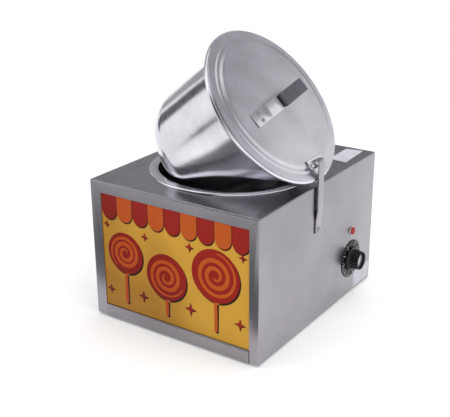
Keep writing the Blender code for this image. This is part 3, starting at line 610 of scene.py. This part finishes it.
def buildShell(values):
    hw, hd, low = size["halfWidth"], size["halfDepth"], size["body"]
    thing = linked(boxMesh((-hw, -hd, low), (hw, hd, deck)))
    shape = bmesh.new()
    shape.from_mesh(thing.data)
    shape.normal_update()
    bmesh.ops.delete(shape, geom=[f for f in shape.faces if f.normal.z < -0.5], context="FACES_ONLY")
    shape.to_mesh(thing.data)
    shape.free()
    edge = thing.modifiers.new("edge", "BEVEL")
    edge.width = values["edge"] * mm
    edge.segments = 5
    edge.limit_method = "ANGLE"
    wall = thing.modifiers.new("wall", "SOLIDIFY")
    wall.thickness = size["sheet"] * mm
    wall.offset = -1
    wall.use_even_offset = True
    left = -hw + values["leftStrip"]
    right = hw - values["rightStrip"]
    top = deck - values["topStrip"]
    rear = values["rearFlange"]
    inset = values["seamInset"]
    seam = values["seam"]
    tools = [
        linked(boxMesh((left, -hd - 5, low - 5), (right, -hd + 6, top))),
        linked(boxMesh((-hw + rear, hd - 6, low + rear), (hw - rear, hd + 5, deck - rear))),
        roundTool(values["wellHole"], deck - 6, deck + 6,
                  Matrix.Translation((0, size["wellY"] * mm, 0)), 128),
        roundTool(values["shaftHole"], -6, 6, cabinetFrame.inverted() @ dialFrame),
        roundTool(values["lampHole"], -6, 6, cabinetFrame.inverted() @ pilotFrame),
    ]
    for corner, side in ((left, -1), (right, 1)):
        outer = side * (hw - inset)
        length = math.hypot(outer - corner, deck - inset - top)
        lean = math.atan2(deck - inset - top, outer - corner)
        tool = boxMesh((-2, -hd - 4, -seam), (length, -hd + 4, seam))
        tool.transform(Matrix.Translation((corner * mm, 0, top * mm)) @ Matrix.Rotation(-lean, 4, "Y"))
        tools.append(linked(tool))
    mesh = carve(thing, *tools)
    mesh.transform(cabinetFrame)
    return mesh


finished("cabinetShell", buildShell(shell), stainless, "cabinet", ["cabinet_shell"], 35)
print("the shell is ready")

# Front rail: a bent channel with a rounded top lip
rail = {
    "section": [(-190.5, 32.0), (-190.5, 25.4), (-198.4, 25.4), (-198.4, 3.1), (-185.5, 3.1)],
    "bend": 1.2,
    "span": (-144.7, 149.7),
    "thickness": 1.2,
    "edge": 0.3,
}
railMesh = sweptStrip(rounded(rail["section"], rail["bend"], 5), rail["span"], rail["thickness"],
                      cabinetFrame, "X", rail["edge"])
finished("frontRail", railMesh, shadedRailSteel, "cabinet", ["front_rail"], 35)

# Well ring with a rolled outer edge
ring = {
    "bore": [(128.0, 255.4), (128.3, 255.9), (128.9, 256.2)],
    "roll": arc((140.1, 252.3), 3.9, 90, 0, 12),
    "under": [(139.4, 252.3), (139.4, 253.6), (128.0, 253.6)],
}
ringMesh = lathe([*ring["bore"], *ring["roll"], *ring["under"]], wellFrame, 160, True)
finished("wellRing", ringMesh, ringMetal, "cabinet", ["well_ring"], 40, wellFrame)

# Well liner, hanging by its lip under the ring
liner = {
    "inside": [(0, 50.0), *arc((115.0, 64.0), 14.0, -90, 0, 8), (129.0, 253.3), (138.0, 253.3)],
    "outside": [(138.0, 252.3), (130.0, 252.3), *arc((115.0, 64.0), 15.0, 0, -90, 8), (0, 49.0)],
}
linerMesh = lathe([*liner["inside"], *liner["outside"]], wellFrame)
finished("wellLiner", linerMesh, linerMetal, "cabinet", ["well_liner"], 40, wellFrame)
print("the well is ready")

# Kettle: spun wall, flared flange and wired bead
kettle = {
    "inside": [
        (0, -190.0), *arc((71.0, -142.0), 48.0, -90, 0, 14), (119.0, -60.0), (119.0, -12.0), (119.3, -8.6),
        (120.2, -5.2), (122.6, -2.4), (127.3, -0.6),
    ],
    "bead": arc((138.3, 0.0), 4.0, 165, -165, 28),
    "outside": [
        (128.0, -2.5), (124.2, -4.2), (122.0, -6.8), (121.2, -9.2), (121.0, -12.0), (121.0, -60.0),
        *arc((71.0, -142.0), 50.0, 0, -90, 14), (0, -192.0),
    ],
}
kettleMesh = lathe([*kettle["inside"], *kettle["bead"], *kettle["outside"]], kettleFrame, 192)
finished("kettleBody", kettleMesh, kettleMetal, "kettle", ["kettle"], 50, kettleFrame)

# Lid: pressed disc with stepped rings and a rolled edge
lid = {
    "upper": [
        (0, 13.7), (30, 13.65), (60, 13.4), (90, 13.0), (112, 12.6), (115.2, 12.4), (116.8, 11.9),
        (117.9, 10.8), (118.5, 9.7), (119.4, 8.8), (120.6, 8.4), (123.4, 8.4), (124.6, 8.1), (125.5, 7.2),
        (126.3, 6.4), (127.6, 5.95), (129.5, 5.8),
    ],
    "edge": arc((138.25, 5.05), 0.75, 90, -90, 8),
    "inward": 0.45,
    "sheet": 1.5,
}
lidUnder = [(max(r - lid["inward"], 0), h - lid["sheet"]) for r, h in lid["upper"][::-1]]
lidMesh = lathe([*lid["upper"], *lid["edge"], *lidUnder], kettleFrame, 192)
finished("lidDisc", lidMesh, lidMetal, "lid", ["lid"], 50, kettleFrame)
print("the kettle and its lid are ready")

# Sign panel in the front opening, with a generic fairground design. Sweets are x, y, radius and turn.
sign = {
    "face": -196.0,  # the cabinet's Y at the print
    "low": 26.3, "high": 243.0, "left": -156.0, "right": 161.0, "thickness": 3.0, "edge": 0.3,
    "openLeft": -145.0, "openRight": 150.0,
    "gold": ("#b07b24", "#dba63a"), "red": ("#7d1209", "#a01d0e"), "dark": ("#1e0c08", "#2c130c"),
    "orange": ("#b8430e", "#c95a16"),
    "roughness": 0.38,
    "cloud": 143,
    "sweets": [(-98, 132, 37, 0.3), (-12, 110, 41, 2.1), (86, 138, 46, 4.0)],
    "stickLow": 40, "stickHalf": 3,
    "bandWidth": 7.5, "bandTurns": 2.6, "bandStart": 5, "bandMargin": 6,
    "stars": [(-134, 58, 9), (-62, 62, 11), (-55, 172, 8), (36, 66, 12), (36, 176, 9), (132, 66, 11),
              (137, 182, 8), (-136, 178, 7)],
    "starWaist": 0.32,
    "scallops": 9, "scallopHigh": 233, "scallopLow": 204, "scallopGap": 0.6,
    "sweetShadow": (2.6, -2.6), "starShadow": (1.4, -1.4), "scallopShadow": (1.6, -2.2),
    "layer": 0.045,
    "ink": 0.02,
}
signFrame = frameAt(0, sign["face"], 0, Matrix.Rotation(math.pi / 2, 4, "X"))


# Screen print on acrylic, a little uneven, with painted shade that makes it darker towards its low left
# corner
def printed(name, dark, light):
    rough = sign["roughness"]
    material, tree, shader = newMaterial(name, light, rough, 0.0, Specular_IOR_Level=0.22)
    place = addNode(tree, "ShaderNodeTexCoord").outputs["Object"]
    broad = addNode(tree, "ShaderNodeTexNoise", {
        "Vector": place, "Scale": 1000 / sign["cloud"], "Detail": 2.0,
    })
    parts = addNode(tree, "ShaderNodeSeparateXYZ", {"Vector": place}).outputs
    # Painted shade: the print turns darker towards the sign's low left corner and lighter towards its top
    # right
    slope = addNode(tree, "ShaderNodeMath", {0: parts["X"], 1: parts["Z"]}, operation="ADD")
    paintedShade = addNode(tree, "ShaderNodeMapRange", {
        "Value": slope, "From Min": -0.08, "From Max": 0.22, "To Min": -0.25, "To Max": 0.45,
    })
    both = addNode(tree, "ShaderNodeMath", {0: broad, 1: paintedShade}, operation="ADD")
    shade(tree, shader, both, dark, light, broad, (rough - 0.03, rough + 0.04), (0.35, 0.85))
    return material


signGold = printed("gold printed acrylic", *sign["gold"])
signRed = printed("dark red print", *sign["red"])
signDark = printed("dark brown print", *sign["dark"])
signOrange = printed("orange print", *sign["orange"])
signOutline = rectangle(sign["left"], sign["low"], sign["right"], sign["high"])
signMesh = flatPlate(signOutline, [], -sign["thickness"], 0.0, signFrame, sign["edge"])
finished("signPanel", signMesh, signGold, "cabinet", ["sign_panel"])


# Closed outlines printed on the sign. A higher layer covers a lower one.
def printedShape(name, loops, material, layer):
    mesh = filledLoops(loops, sign["ink"])
    mesh.transform(signFrame @ Matrix.Translation((0, 0, sign["layer"] * layer * mm)))
    finished(name, mesh, material, "cabinet", (), 0)


# A band that winds outward, thin at both ends
def spiralBand(x, y, inner, outer, turns, width, start):
    steps = int(turns * 40)
    left, right = [], []
    for i in range(steps + 1):
        share = i / steps
        angle = start + turns * 2 * math.pi * share
        radius = inner + (outer - inner) * share
        half = width / 2 * math.sin(math.pi * min(max(share, 0.02), 0.98)) ** 0.4
        left.append((x + (radius + half) * math.cos(angle), y + (radius + half) * math.sin(angle)))
        right.append((x + (radius - half) * math.cos(angle), y + (radius - half) * math.sin(angle)))
    return left + right[::-1]


def starLoop(x, y, radius):
    points = []
    for i in range(8):
        reach = radius * (1 if i % 2 == 0 else sign["starWaist"])
        points.append((x + reach * math.cos(math.pi / 4 * i), y + reach * math.sin(math.pi / 4 * i)))
    return points


def scallopLoop(index):
    width = (sign["openRight"] - sign["openLeft"]) / sign["scallops"]
    centre = sign["openLeft"] + width * (index + 0.5)
    half = width / 2 - sign["scallopGap"]
    low, high = sign["scallopLow"], sign["scallopHigh"]
    return [(centre + half, high), (centre - half, high), *arc((centre, low), half, 180, 360, 20)]


stickLow, stickHalf = sign["stickLow"], sign["stickHalf"]
sticks, discs, bands = [], [], []
for x, y, radius, turn in sign["sweets"]:
    sticks.append(rectangle(x - stickHalf, stickLow, x + stickHalf, y))
    discs.append(ringLoop(x, y, radius, 72))
    bands.append(spiralBand(x, y, sign["bandStart"], radius - sign["bandMargin"], sign["bandTurns"],
                            sign["bandWidth"], turn))
scallops = [scallopLoop(i) for i in range(sign["scallops"])]
stars = [starLoop(*star) for star in sign["stars"]]
printedShape("signShadows", [moved(loop, *sign["sweetShadow"]) for loop in discs + sticks], signDark, 1)
printedShape("signStarShadows", [moved(loop, *sign["starShadow"]) for loop in stars], signDark, 1)
printedShape("signSticks", sticks, signOrange, 2)
printedShape("signDiscs", discs, signRed, 3)
printedShape("signSpirals", bands, signOrange, 4)
printedShape("signStars", stars, signRed, 2)
printedShape("signScallopShadows", [moved(loop, *sign["scallopShadow"]) for loop in scallops], signDark, 1)
printedShape("signScallops", scallops[0::2], signRed, 2)
printedShape("signLightScallops", scallops[1::2], signOrange, 3)
print("the sign is ready")

# Handle: bent strap, rounded grip and two rivets
handle = {
    "shift": 2,
    "turn": math.radians(9),
    "path": [(-86, 14.9), (-41, 14.9), (-27, 31.1), (55, 31.1)],
    "bend": 7,
    "halfWidth": 12,
    "thickness": 2,
    "edge": 0.7,
    "gripLow": (-12, -20, 32.4),
    "gripHigh": (12, 58, 38.9),
    "gripEdge": 2.2,
    "rivets": {"handle_rivet_left": (-6.5, -68), "handle_rivet_right": (6.5, -68)},
    "rivet": [
        (0, 17.95), (1.6, 17.75), (3.0, 17.1), (3.9, 16.4), (4.2, 16.2), (2, 16.2), (2, 10.6),
        (4.2, 10.6), (4.0, 10.0), (3.2, 9.7), (0, 9.7),
    ],
}
handleFrame = kettleFrame @ Matrix.Translation((handle["shift"] * mm, 0, 0)) @ Matrix.Rotation(
    handle["turn"], 4, "Z")
strapMesh = sweptStrip(rounded(handle["path"], handle["bend"], 10),
                       (-handle["halfWidth"], handle["halfWidth"]), handle["thickness"], handleFrame, "X",
                       handle["edge"])
finished("handleStrap", strapMesh, brightSteel, "lid", ["handle_strap"], 35)
grip = linked(boxMesh(handle["gripLow"], handle["gripHigh"]))
gripBevel = grip.modifiers.new("edge", "BEVEL")
gripBevel.width = handle["gripEdge"] * mm
gripBevel.segments = 5
gripMesh = baked(grip)
gripMesh.transform(handleFrame)
finished("handleGrip", gripMesh, gripPlastic, "lid", ["handle_grip"], 50)
for name, (x, y) in handle["rivets"].items():
    place = handleFrame @ Matrix.Translation((x * mm, y * mm, 0))
    finished(name.replace("_", ""), lathe(handle["rivet"], place, 32), strapSteel, "lid", [name], 50)

# Lid bracket with its two cross-slotted screws
bracket = {
    "outline": [(107, 23), (107, -23), *arc((117, -16), 7, -90, 0, 10), *arc((117, 16), 7, 0, 90, 10)],
    "low": 13.9,
    "high": 15.9,
    "edge": 0.4,
    "hole": 2.3,
    "screws": {"bracket_screw_near": (117, -14.5), "bracket_screw_far": (117, 14.5)},
    "screwSeat": 16.2,
    "shankLow": -6.6,
}
bracketHoles = [ringLoop(x, y, bracket["hole"]) for x, y in bracket["screws"].values()]
bracketMesh = flatPlate(bracket["outline"], bracketHoles, bracket["low"], bracket["high"],
                        kettleFrame, bracket["edge"], 3)
finished("lidBracket", bracketMesh, brightSteel, "lid", ["lid_bracket"])
for name, (x, y) in bracket["screws"].items():
    place = kettleFrame @ Matrix.Translation((x * mm, y * mm, bracket["screwSeat"] * mm))
    mesh = screwMesh(screw["radius"], screw["height"], screw["shank"], bracket["shankLow"], place)
    finished(name.replace("_", ""), mesh, brightSteel, "lid", [name])
print("the handle and the bracket are ready")

# Tilt strap on the side: flat on the panel, out past the lid's edge, and an arm over the bracket
strap = {
    "thickness": 2.5,
    "halfWidth": 8.5,
    "gap": 0.3,
    "lidRadius": 139,
    "lidHeight": 5.8,
    "lidClearance": 1.2,
    "armReach": 112,
    "armLift": 16.8,
    "low": -82.5, "stepLow": -62, "stepHigh": -42, "armBend": 46.5,  # heights from the deck
    "bends": [30, 30, 5],
    "edge": 0.6,
    "screwDrop": 77,
    "screwSeat": 3.1,
    "shankLow": -10,
}
flatLine = size["halfWidth"] + strap["gap"] + strap["thickness"] / 2
lidEdge = size["kettleX"] + strap["lidRadius"] * math.cos(tilt) + strap["lidHeight"] * math.sin(tilt)
clearLine = lidEdge + strap["lidClearance"] + strap["thickness"] / 2
armEnd = (
    size["kettleX"] + strap["armReach"] * math.cos(tilt) + strap["armLift"] * math.sin(tilt),
    size["kettleZ"] - strap["armReach"] * math.sin(tilt) + strap["armLift"] * math.cos(tilt),
)
strapPath = rounded([
    (flatLine, deck + strap["low"]), (flatLine, deck + strap["stepLow"]),
    (clearLine, deck + strap["stepHigh"]), (clearLine, deck + strap["armBend"]), armEnd,
], strap["bends"], 8)
tiltMesh = sweptStrip(strapPath, (-strap["halfWidth"], strap["halfWidth"]), strap["thickness"],
                      wellFrame, "Y", strap["edge"])
finished("tiltStrap", tiltMesh, strapSteel, "cabinet", ["tilt_strap"], 35)
strapScrewFrame = frameAt(size["halfWidth"] + strap["screwSeat"], size["wellY"],
                          deck - strap["screwDrop"], sideTurn)
strapScrewMesh = screwMesh(screw["radius"], screw["height"], screw["shank"], strap["shankLow"],
                           strapScrewFrame)
finished("strapScrew", strapScrewMesh, strapSteel, "cabinet", ["strap_screw"])

# Dial plate with ticks and plain numbers. Angles are in degrees from the frame's X.
dial = {
    "plate": [(4.3, 1.3), (34.6, 1.3), (35, 0.9), (35, 0.3), (4.3, 0.3)],
    "start": 210,
    "sweep": 300,
    "ticks": 28,
    "tickRadius": 33.2,
    "tickLength": 2.7,
    "tickWidth": 0.7,
    "longExtra": 1.5,
    "wideExtra": 0.4,
    "printHeight": 1.32,
    "printDepth": 0.1,
    "numbers": 10,
    "numberSize": 5.2,
    "numberRadius": 25.6,
    "numberHeight": 1.34,
    "numberDepth": 0.02,
}
finished("dialPlate", lathe(dial["plate"], dialFrame, 96, True), dialBlack, "cabinet", ["dial_plate"])


# Bars round a circle, each third one longer and wider
def tickInstances(tree, given):
    index = addNode(tree, "GeometryNodeInputIndex")
    rest = addNode(tree, "ShaderNodeMath", {0: index, 1: 3.0}, operation="MODULO")
    long = addNode(tree, "ShaderNodeMath", {0: rest, 1: 0.5}, operation="LESS_THAN")
    angle = addNode(tree, "ShaderNodeMath", {
        0: index, 1: given["Step"], 2: given["Start"],
    }, operation="MULTIPLY_ADD")
    length = addNode(tree, "ShaderNodeMath", {
        0: long, 1: given["Extra Length"], 2: given["Length"],
    }, operation="MULTIPLY_ADD")
    width = addNode(tree, "ShaderNodeMath", {
        0: long, 1: given["Extra Width"], 2: given["Width"],
    }, operation="MULTIPLY_ADD")
    middle = addNode(tree, "ShaderNodeMath", {
        0: length, 1: -0.5, 2: given["Radius"],
    }, operation="MULTIPLY_ADD")
    across = addNode(tree, "ShaderNodeMath", {0: angle}, operation="COSINE")
    up = addNode(tree, "ShaderNodeMath", {0: angle}, operation="SINE")
    spot = addNode(tree, "ShaderNodeCombineXYZ", {
        "X": addNode(tree, "ShaderNodeMath", {0: middle, 1: across}, operation="MULTIPLY"),
        "Y": addNode(tree, "ShaderNodeMath", {0: middle, 1: up}, operation="MULTIPLY"),
    })
    return addNode(tree, "GeometryNodeInstanceOnPoints", {
        "Points": addNode(tree, "GeometryNodePoints", {"Count": given["Count"], "Position": spot}),
        "Instance": addNode(tree, "GeometryNodeMeshCube", {"Size": (1.0, 1.0, 1.0)}),
        "Rotation": addNode(tree, "ShaderNodeCombineXYZ", {"Z": angle}),
        "Scale": addNode(tree, "ShaderNodeCombineXYZ", {"X": length, "Y": width, "Z": given["Depth"]}),
    }).outputs[0]


tickMesh = grown("dialTicks", tickInstances, {
    "Count": ("Int", dial["ticks"]),
    "Start": ("Float", math.radians(dial["start"])),
    "Step": ("Float", math.radians(dial["sweep"] / (dial["ticks"] - 1))),
    "Radius": ("Float", dial["tickRadius"] * mm),
    "Length": ("Float", dial["tickLength"] * mm),
    "Extra Length": ("Float", dial["longExtra"] * mm),
    "Width": ("Float", dial["tickWidth"] * mm),
    "Extra Width": ("Float", dial["wideExtra"] * mm),
    "Depth": ("Float", dial["printDepth"] * mm),
}, dialWhite)
tickMesh.transform(dialFrame @ Matrix.Translation((0, 0, dial["printHeight"] * mm)))
finished("dialTicks", tickMesh, dialWhite, "cabinet", (), 0)
for i in range(dial["numbers"]):
    text = bpy.data.curves.new("number", "FONT")
    text.body = str(i)
    text.size = dial["numberSize"] * mm
    text.align_x = "CENTER"
    text.align_y = "CENTER"
    text.extrude = dial["numberDepth"] * mm
    mesh = baked(linked(text))
    angle = math.radians(dial["start"] + i * dial["sweep"] / (dial["numbers"] - 1))
    radius = dial["numberRadius"] * mm
    spot = (radius * math.cos(angle), radius * math.sin(angle), dial["numberHeight"] * mm)
    mesh.transform(dialFrame @ Matrix.Translation(spot) @ Matrix.Rotation(math.pi / 2, 4, "Z"))
    finished("dialNumber" + str(i), mesh, dialWhite, "cabinet", (), 0)

# Knob with a fluted grip, a recessed bright cap and a pointer line
knob = {
    "profile": [
        (0, 16.6), (13.2, 16.6), (14.4, 21.9), (14.9, 22.6), (15.7, 22.6), (16.3, 22.2), (16.5, 21.1),
        (17.2, 16), (17.9, 11), (18.5, 6.6), (19.4, 5.6), (20.6, 5.1), (21.5, 4.6), (22, 3.8), (22, 1.6),
        (3.3, 1.6), (3.3, 13.3), (0, 13.3),
    ],
    "steps": 224,
    "flutes": 16,
    "fluteDepth": 0.045,
    "fluteFrom": (15.9, 5.9),  # least radius and height
    "cap": [(0, 17.6), (10.5, 17.6), (12.2, 17.8), (12.7, 17.7), (12.9, 17.4), (12.9, 16.9), (0, 16.9)],
    "pointer": (-21.2, -0.7, -18.9, 0.7),
    "pointerHeights": (4.9, 5.3),
    "pointerEdge": 0.05,
}
knobMesh = lathe(knob["profile"], Matrix.Identity(4), knob["steps"])
for vertex in knobMesh.vertices:
    radius = math.hypot(vertex.co.x, vertex.co.y)
    if radius > knob["fluteFrom"][0] * mm and vertex.co.z > knob["fluteFrom"][1] * mm:
        wave = 0.5 + 0.5 * math.cos(math.atan2(vertex.co.y, vertex.co.x) * knob["flutes"])
        share = 1 - knob["fluteDepth"] * wave ** 3
        vertex.co.x *= share
        vertex.co.y *= share
knobMesh.transform(dialFrame)
finished("controlKnob", knobMesh, blackPlastic, "knob", ["control_knob"])
finished("knobCap", lathe(knob["cap"], dialFrame, 96), lidMetal, "knob", ["knob_cap"], 40, dialFrame)
pointerMesh = flatPlate(rectangle(*knob["pointer"]), [], *knob["pointerHeights"], dialFrame,
                        knob["pointerEdge"], 1)
finished("knobPointer", pointerMesh, dialWhite, "knob", (), 0)

# Pilot lamp: a low bezel and a domed lens
pilot = {
    "bezel": [(6.9, 1.4), (7.2, 1.6), (7.7, 1.6), (8.1, 1.4), (8.4, 1.0), (8.4, 0.3), (6.9, 0.3)],
    "lens": [
        (0, 6.9), (1.8, 6.75), (3.6, 6.3), (5.1, 5.5), (6.1, 4.4), (6.6, 3.1), (6.75, 2.2), (6.75, 0.3),
        (5, 0.3), (5, -1.2), (0, -1.2),
    ],
    "red": ("#8e140c", "#ab2117"),
    "roughness": 0.22,
    "cloud": 8.33,
}
# Acrylic of the lens, moulded and glossy: its red is cloudy, as in a thick clear piece
lensRed, tree, shader = newMaterial(
    "moulded red acrylic", pilot["red"][1], pilot["roughness"], Coat_Weight=0.3, Coat_Roughness=0.1,
    IOR=1.49)
place = addNode(tree, "ShaderNodeTexCoord").outputs["Object"]
depths = addNode(tree, "ShaderNodeTexNoise", {"Vector": place, "Scale": 1000 / pilot["cloud"], "Detail": 2.0})
shade(tree, shader, depths, *pilot["red"])
finished("pilotBezel", lathe(pilot["bezel"], pilotFrame, 64, True), brightSteel, "cabinet",
         ["pilot_bezel"], 40, pilotFrame)
finished("pilotLens", lathe(pilot["lens"], pilotFrame, 64), lensRed, "cabinet", ["pilot_lens"], 50)
print("the controls are ready")

# Rubber feet
foot = {
    "profile": [
        (0, 7.7), (3.0, 7.7), (3.7, 7.5), (5.3, 5.8), (5.4, 5.55), (3.7, 5.5), (3.7, 3.7), (10.8, 3.7),
        (11.2, 3.5), (11.9, 0.7), (12, 0.3), (11.8, 0), (0, 0),
    ],
    "inset": 42,
    "sides": {
        "foot_front_left": (-1, -1), "foot_front_right": (1, -1),
        "foot_rear_left": (-1, 1), "foot_rear_right": (1, 1),
    },
}
for name, (x, y) in foot["sides"].items():
    place = frameAt(x * (size["halfWidth"] - foot["inset"]), y * (size["halfDepth"] - foot["inset"]), 0)
    finished(name.replace("_", ""), lathe(foot["profile"], place, 48), rubber, "cabinet", [name])

# Blank label plates on the deck's rear right corner and low on the right side
labels = {
    "deck": [(117, 115), (151, 112), (147, 188), (115, 183)],
    "side": [(-39, 129), (-39, 192), (-7, 192), (-7, 129)],
    "thickness": 0.15,
    "edge": 0.05,
}
for name, outline, low, place in (
    ("deckLabel", labels["deck"], deck, cabinetFrame),
    ("sideLabel", labels["side"], 0.0, frameAt(size["halfWidth"], 0, 0, sideTurn)),
):
    mesh = flatPlate(outline, [], low, low + labels["thickness"], place, labels["edge"], 1)
    finished(name, mesh, labelPaper, "cabinet", (), 0)

# Back panel with vent slots, and its screws
back = {
    "outline": (-163.3, -247.8, 163.3, -7),
    "edge": 0.2,
    "columns": 9,
    "pitch": 22,
    "ventMiddle": 128,
    "ventRow": 39,
    "ventHalf": 21.5,
    "ventRadius": 2.5,
    "inletHole": 8.3,
    "screwGrid": (290, 206),
    "screwColumns": 3,
    "screwRows": 2,
    "screwMiddle": 129,
    "screwSeat": 0.05,
    "screw": (3.6, 1.35, 1.8, -0.5),  # radius, height, shank and its low end
}
backFrame = frameAt(0, size["backY"], 0, backTurn)
inletX, inletZ = size["inlet"]


def ventLoop(x, z):
    reach, radius = back["ventHalf"], back["ventRadius"]
    return arc((x, -(z + reach)), radius, 180, 360, 8) + arc((x, -(z - reach)), radius, 0, 180, 8)


backHoles = []
for column in range(back["columns"]):
    for row in (-1, 1):
        x = (column - back["columns"] // 2) * back["pitch"]
        backHoles.append(ventLoop(x, back["ventMiddle"] + row * back["ventRow"]))
backHoles.append(ringLoop(inletX, -inletZ, back["inletHole"]))
backMesh = flatPlate(rectangle(*back["outline"]), backHoles, -size["sheet"], 0.0, backFrame,
                     back["edge"], 1)
finished("backPanel", backMesh, stainless, "cabinet", ["back_panel"], 35)


# One screw at each point of a grid
def screwGrid(tree, given):
    grid = addNode(tree, "GeometryNodeMeshGrid", {
        "Size X": given["Width"], "Size Y": given["Height"],
        "Vertices X": given["Columns"], "Vertices Y": given["Rows"],
    })
    head = addNode(tree, "GeometryNodeObjectInfo", {"Object": given["Screw"]}).outputs["Geometry"]
    return addNode(tree, "GeometryNodeInstanceOnPoints", {"Points": grid, "Instance": head}).outputs[0]


backScrew = linked(screwMesh(*back["screw"], Matrix.Identity(4)))
screwsMesh = grown("backScrews", screwGrid, {
    "Screw": ("Object", backScrew),
    "Width": ("Float", back["screwGrid"][0] * mm),
    "Height": ("Float", back["screwGrid"][1] * mm),
    "Columns": ("Int", back["screwColumns"]),
    "Rows": ("Int", back["screwRows"]),
}, brightSteel)
bpy.data.objects.remove(backScrew, do_unlink=True)
screwsMesh.transform(frameAt(0, size["backY"] + back["screwSeat"], back["screwMiddle"], backTurn))
finished("backScrews", screwsMesh, brightSteel, "cabinet")

# Cord inlet, a bush through the back panel
gland = {
    "profile": [
        (4.6, 3.7), (5.2, 4.3), (10.8, 4.3), (11.7, 3.9), (12, 3.2), (12, 0.3), (8, 0.3), (8, -1.5),
        (10.8, -1.5), (10.8, -5.5), (4.6, -5.5),
    ],
}
glandFrame = frameAt(inletX, size["backY"], inletZ, backTurn)
finished("cordGland", lathe(gland["profile"], glandFrame, 64, True), blackPlastic, "cabinet",
         ["cord_gland"])
print("the back and the feet are ready")

# CAD nodes that are kept, and their materials
carried = {
    "bottom_pan": zincSteel,
    "heat_baffle": zincSteel,
    "heating_element": sheath,
    "element_support": zincSteel,
    "terminal_block": ceramic,
    "thermostat_body": blackPlastic,
    "thermostat_bulb": copper,
    "pilot_body": blackPlastic,
    "thermostat_shaft": zincSteel,
}
for name, material in carried.items():
    for slot in bpy.data.objects[name].material_slots:
        slot.material = material
print("the kept nodes are dressed")
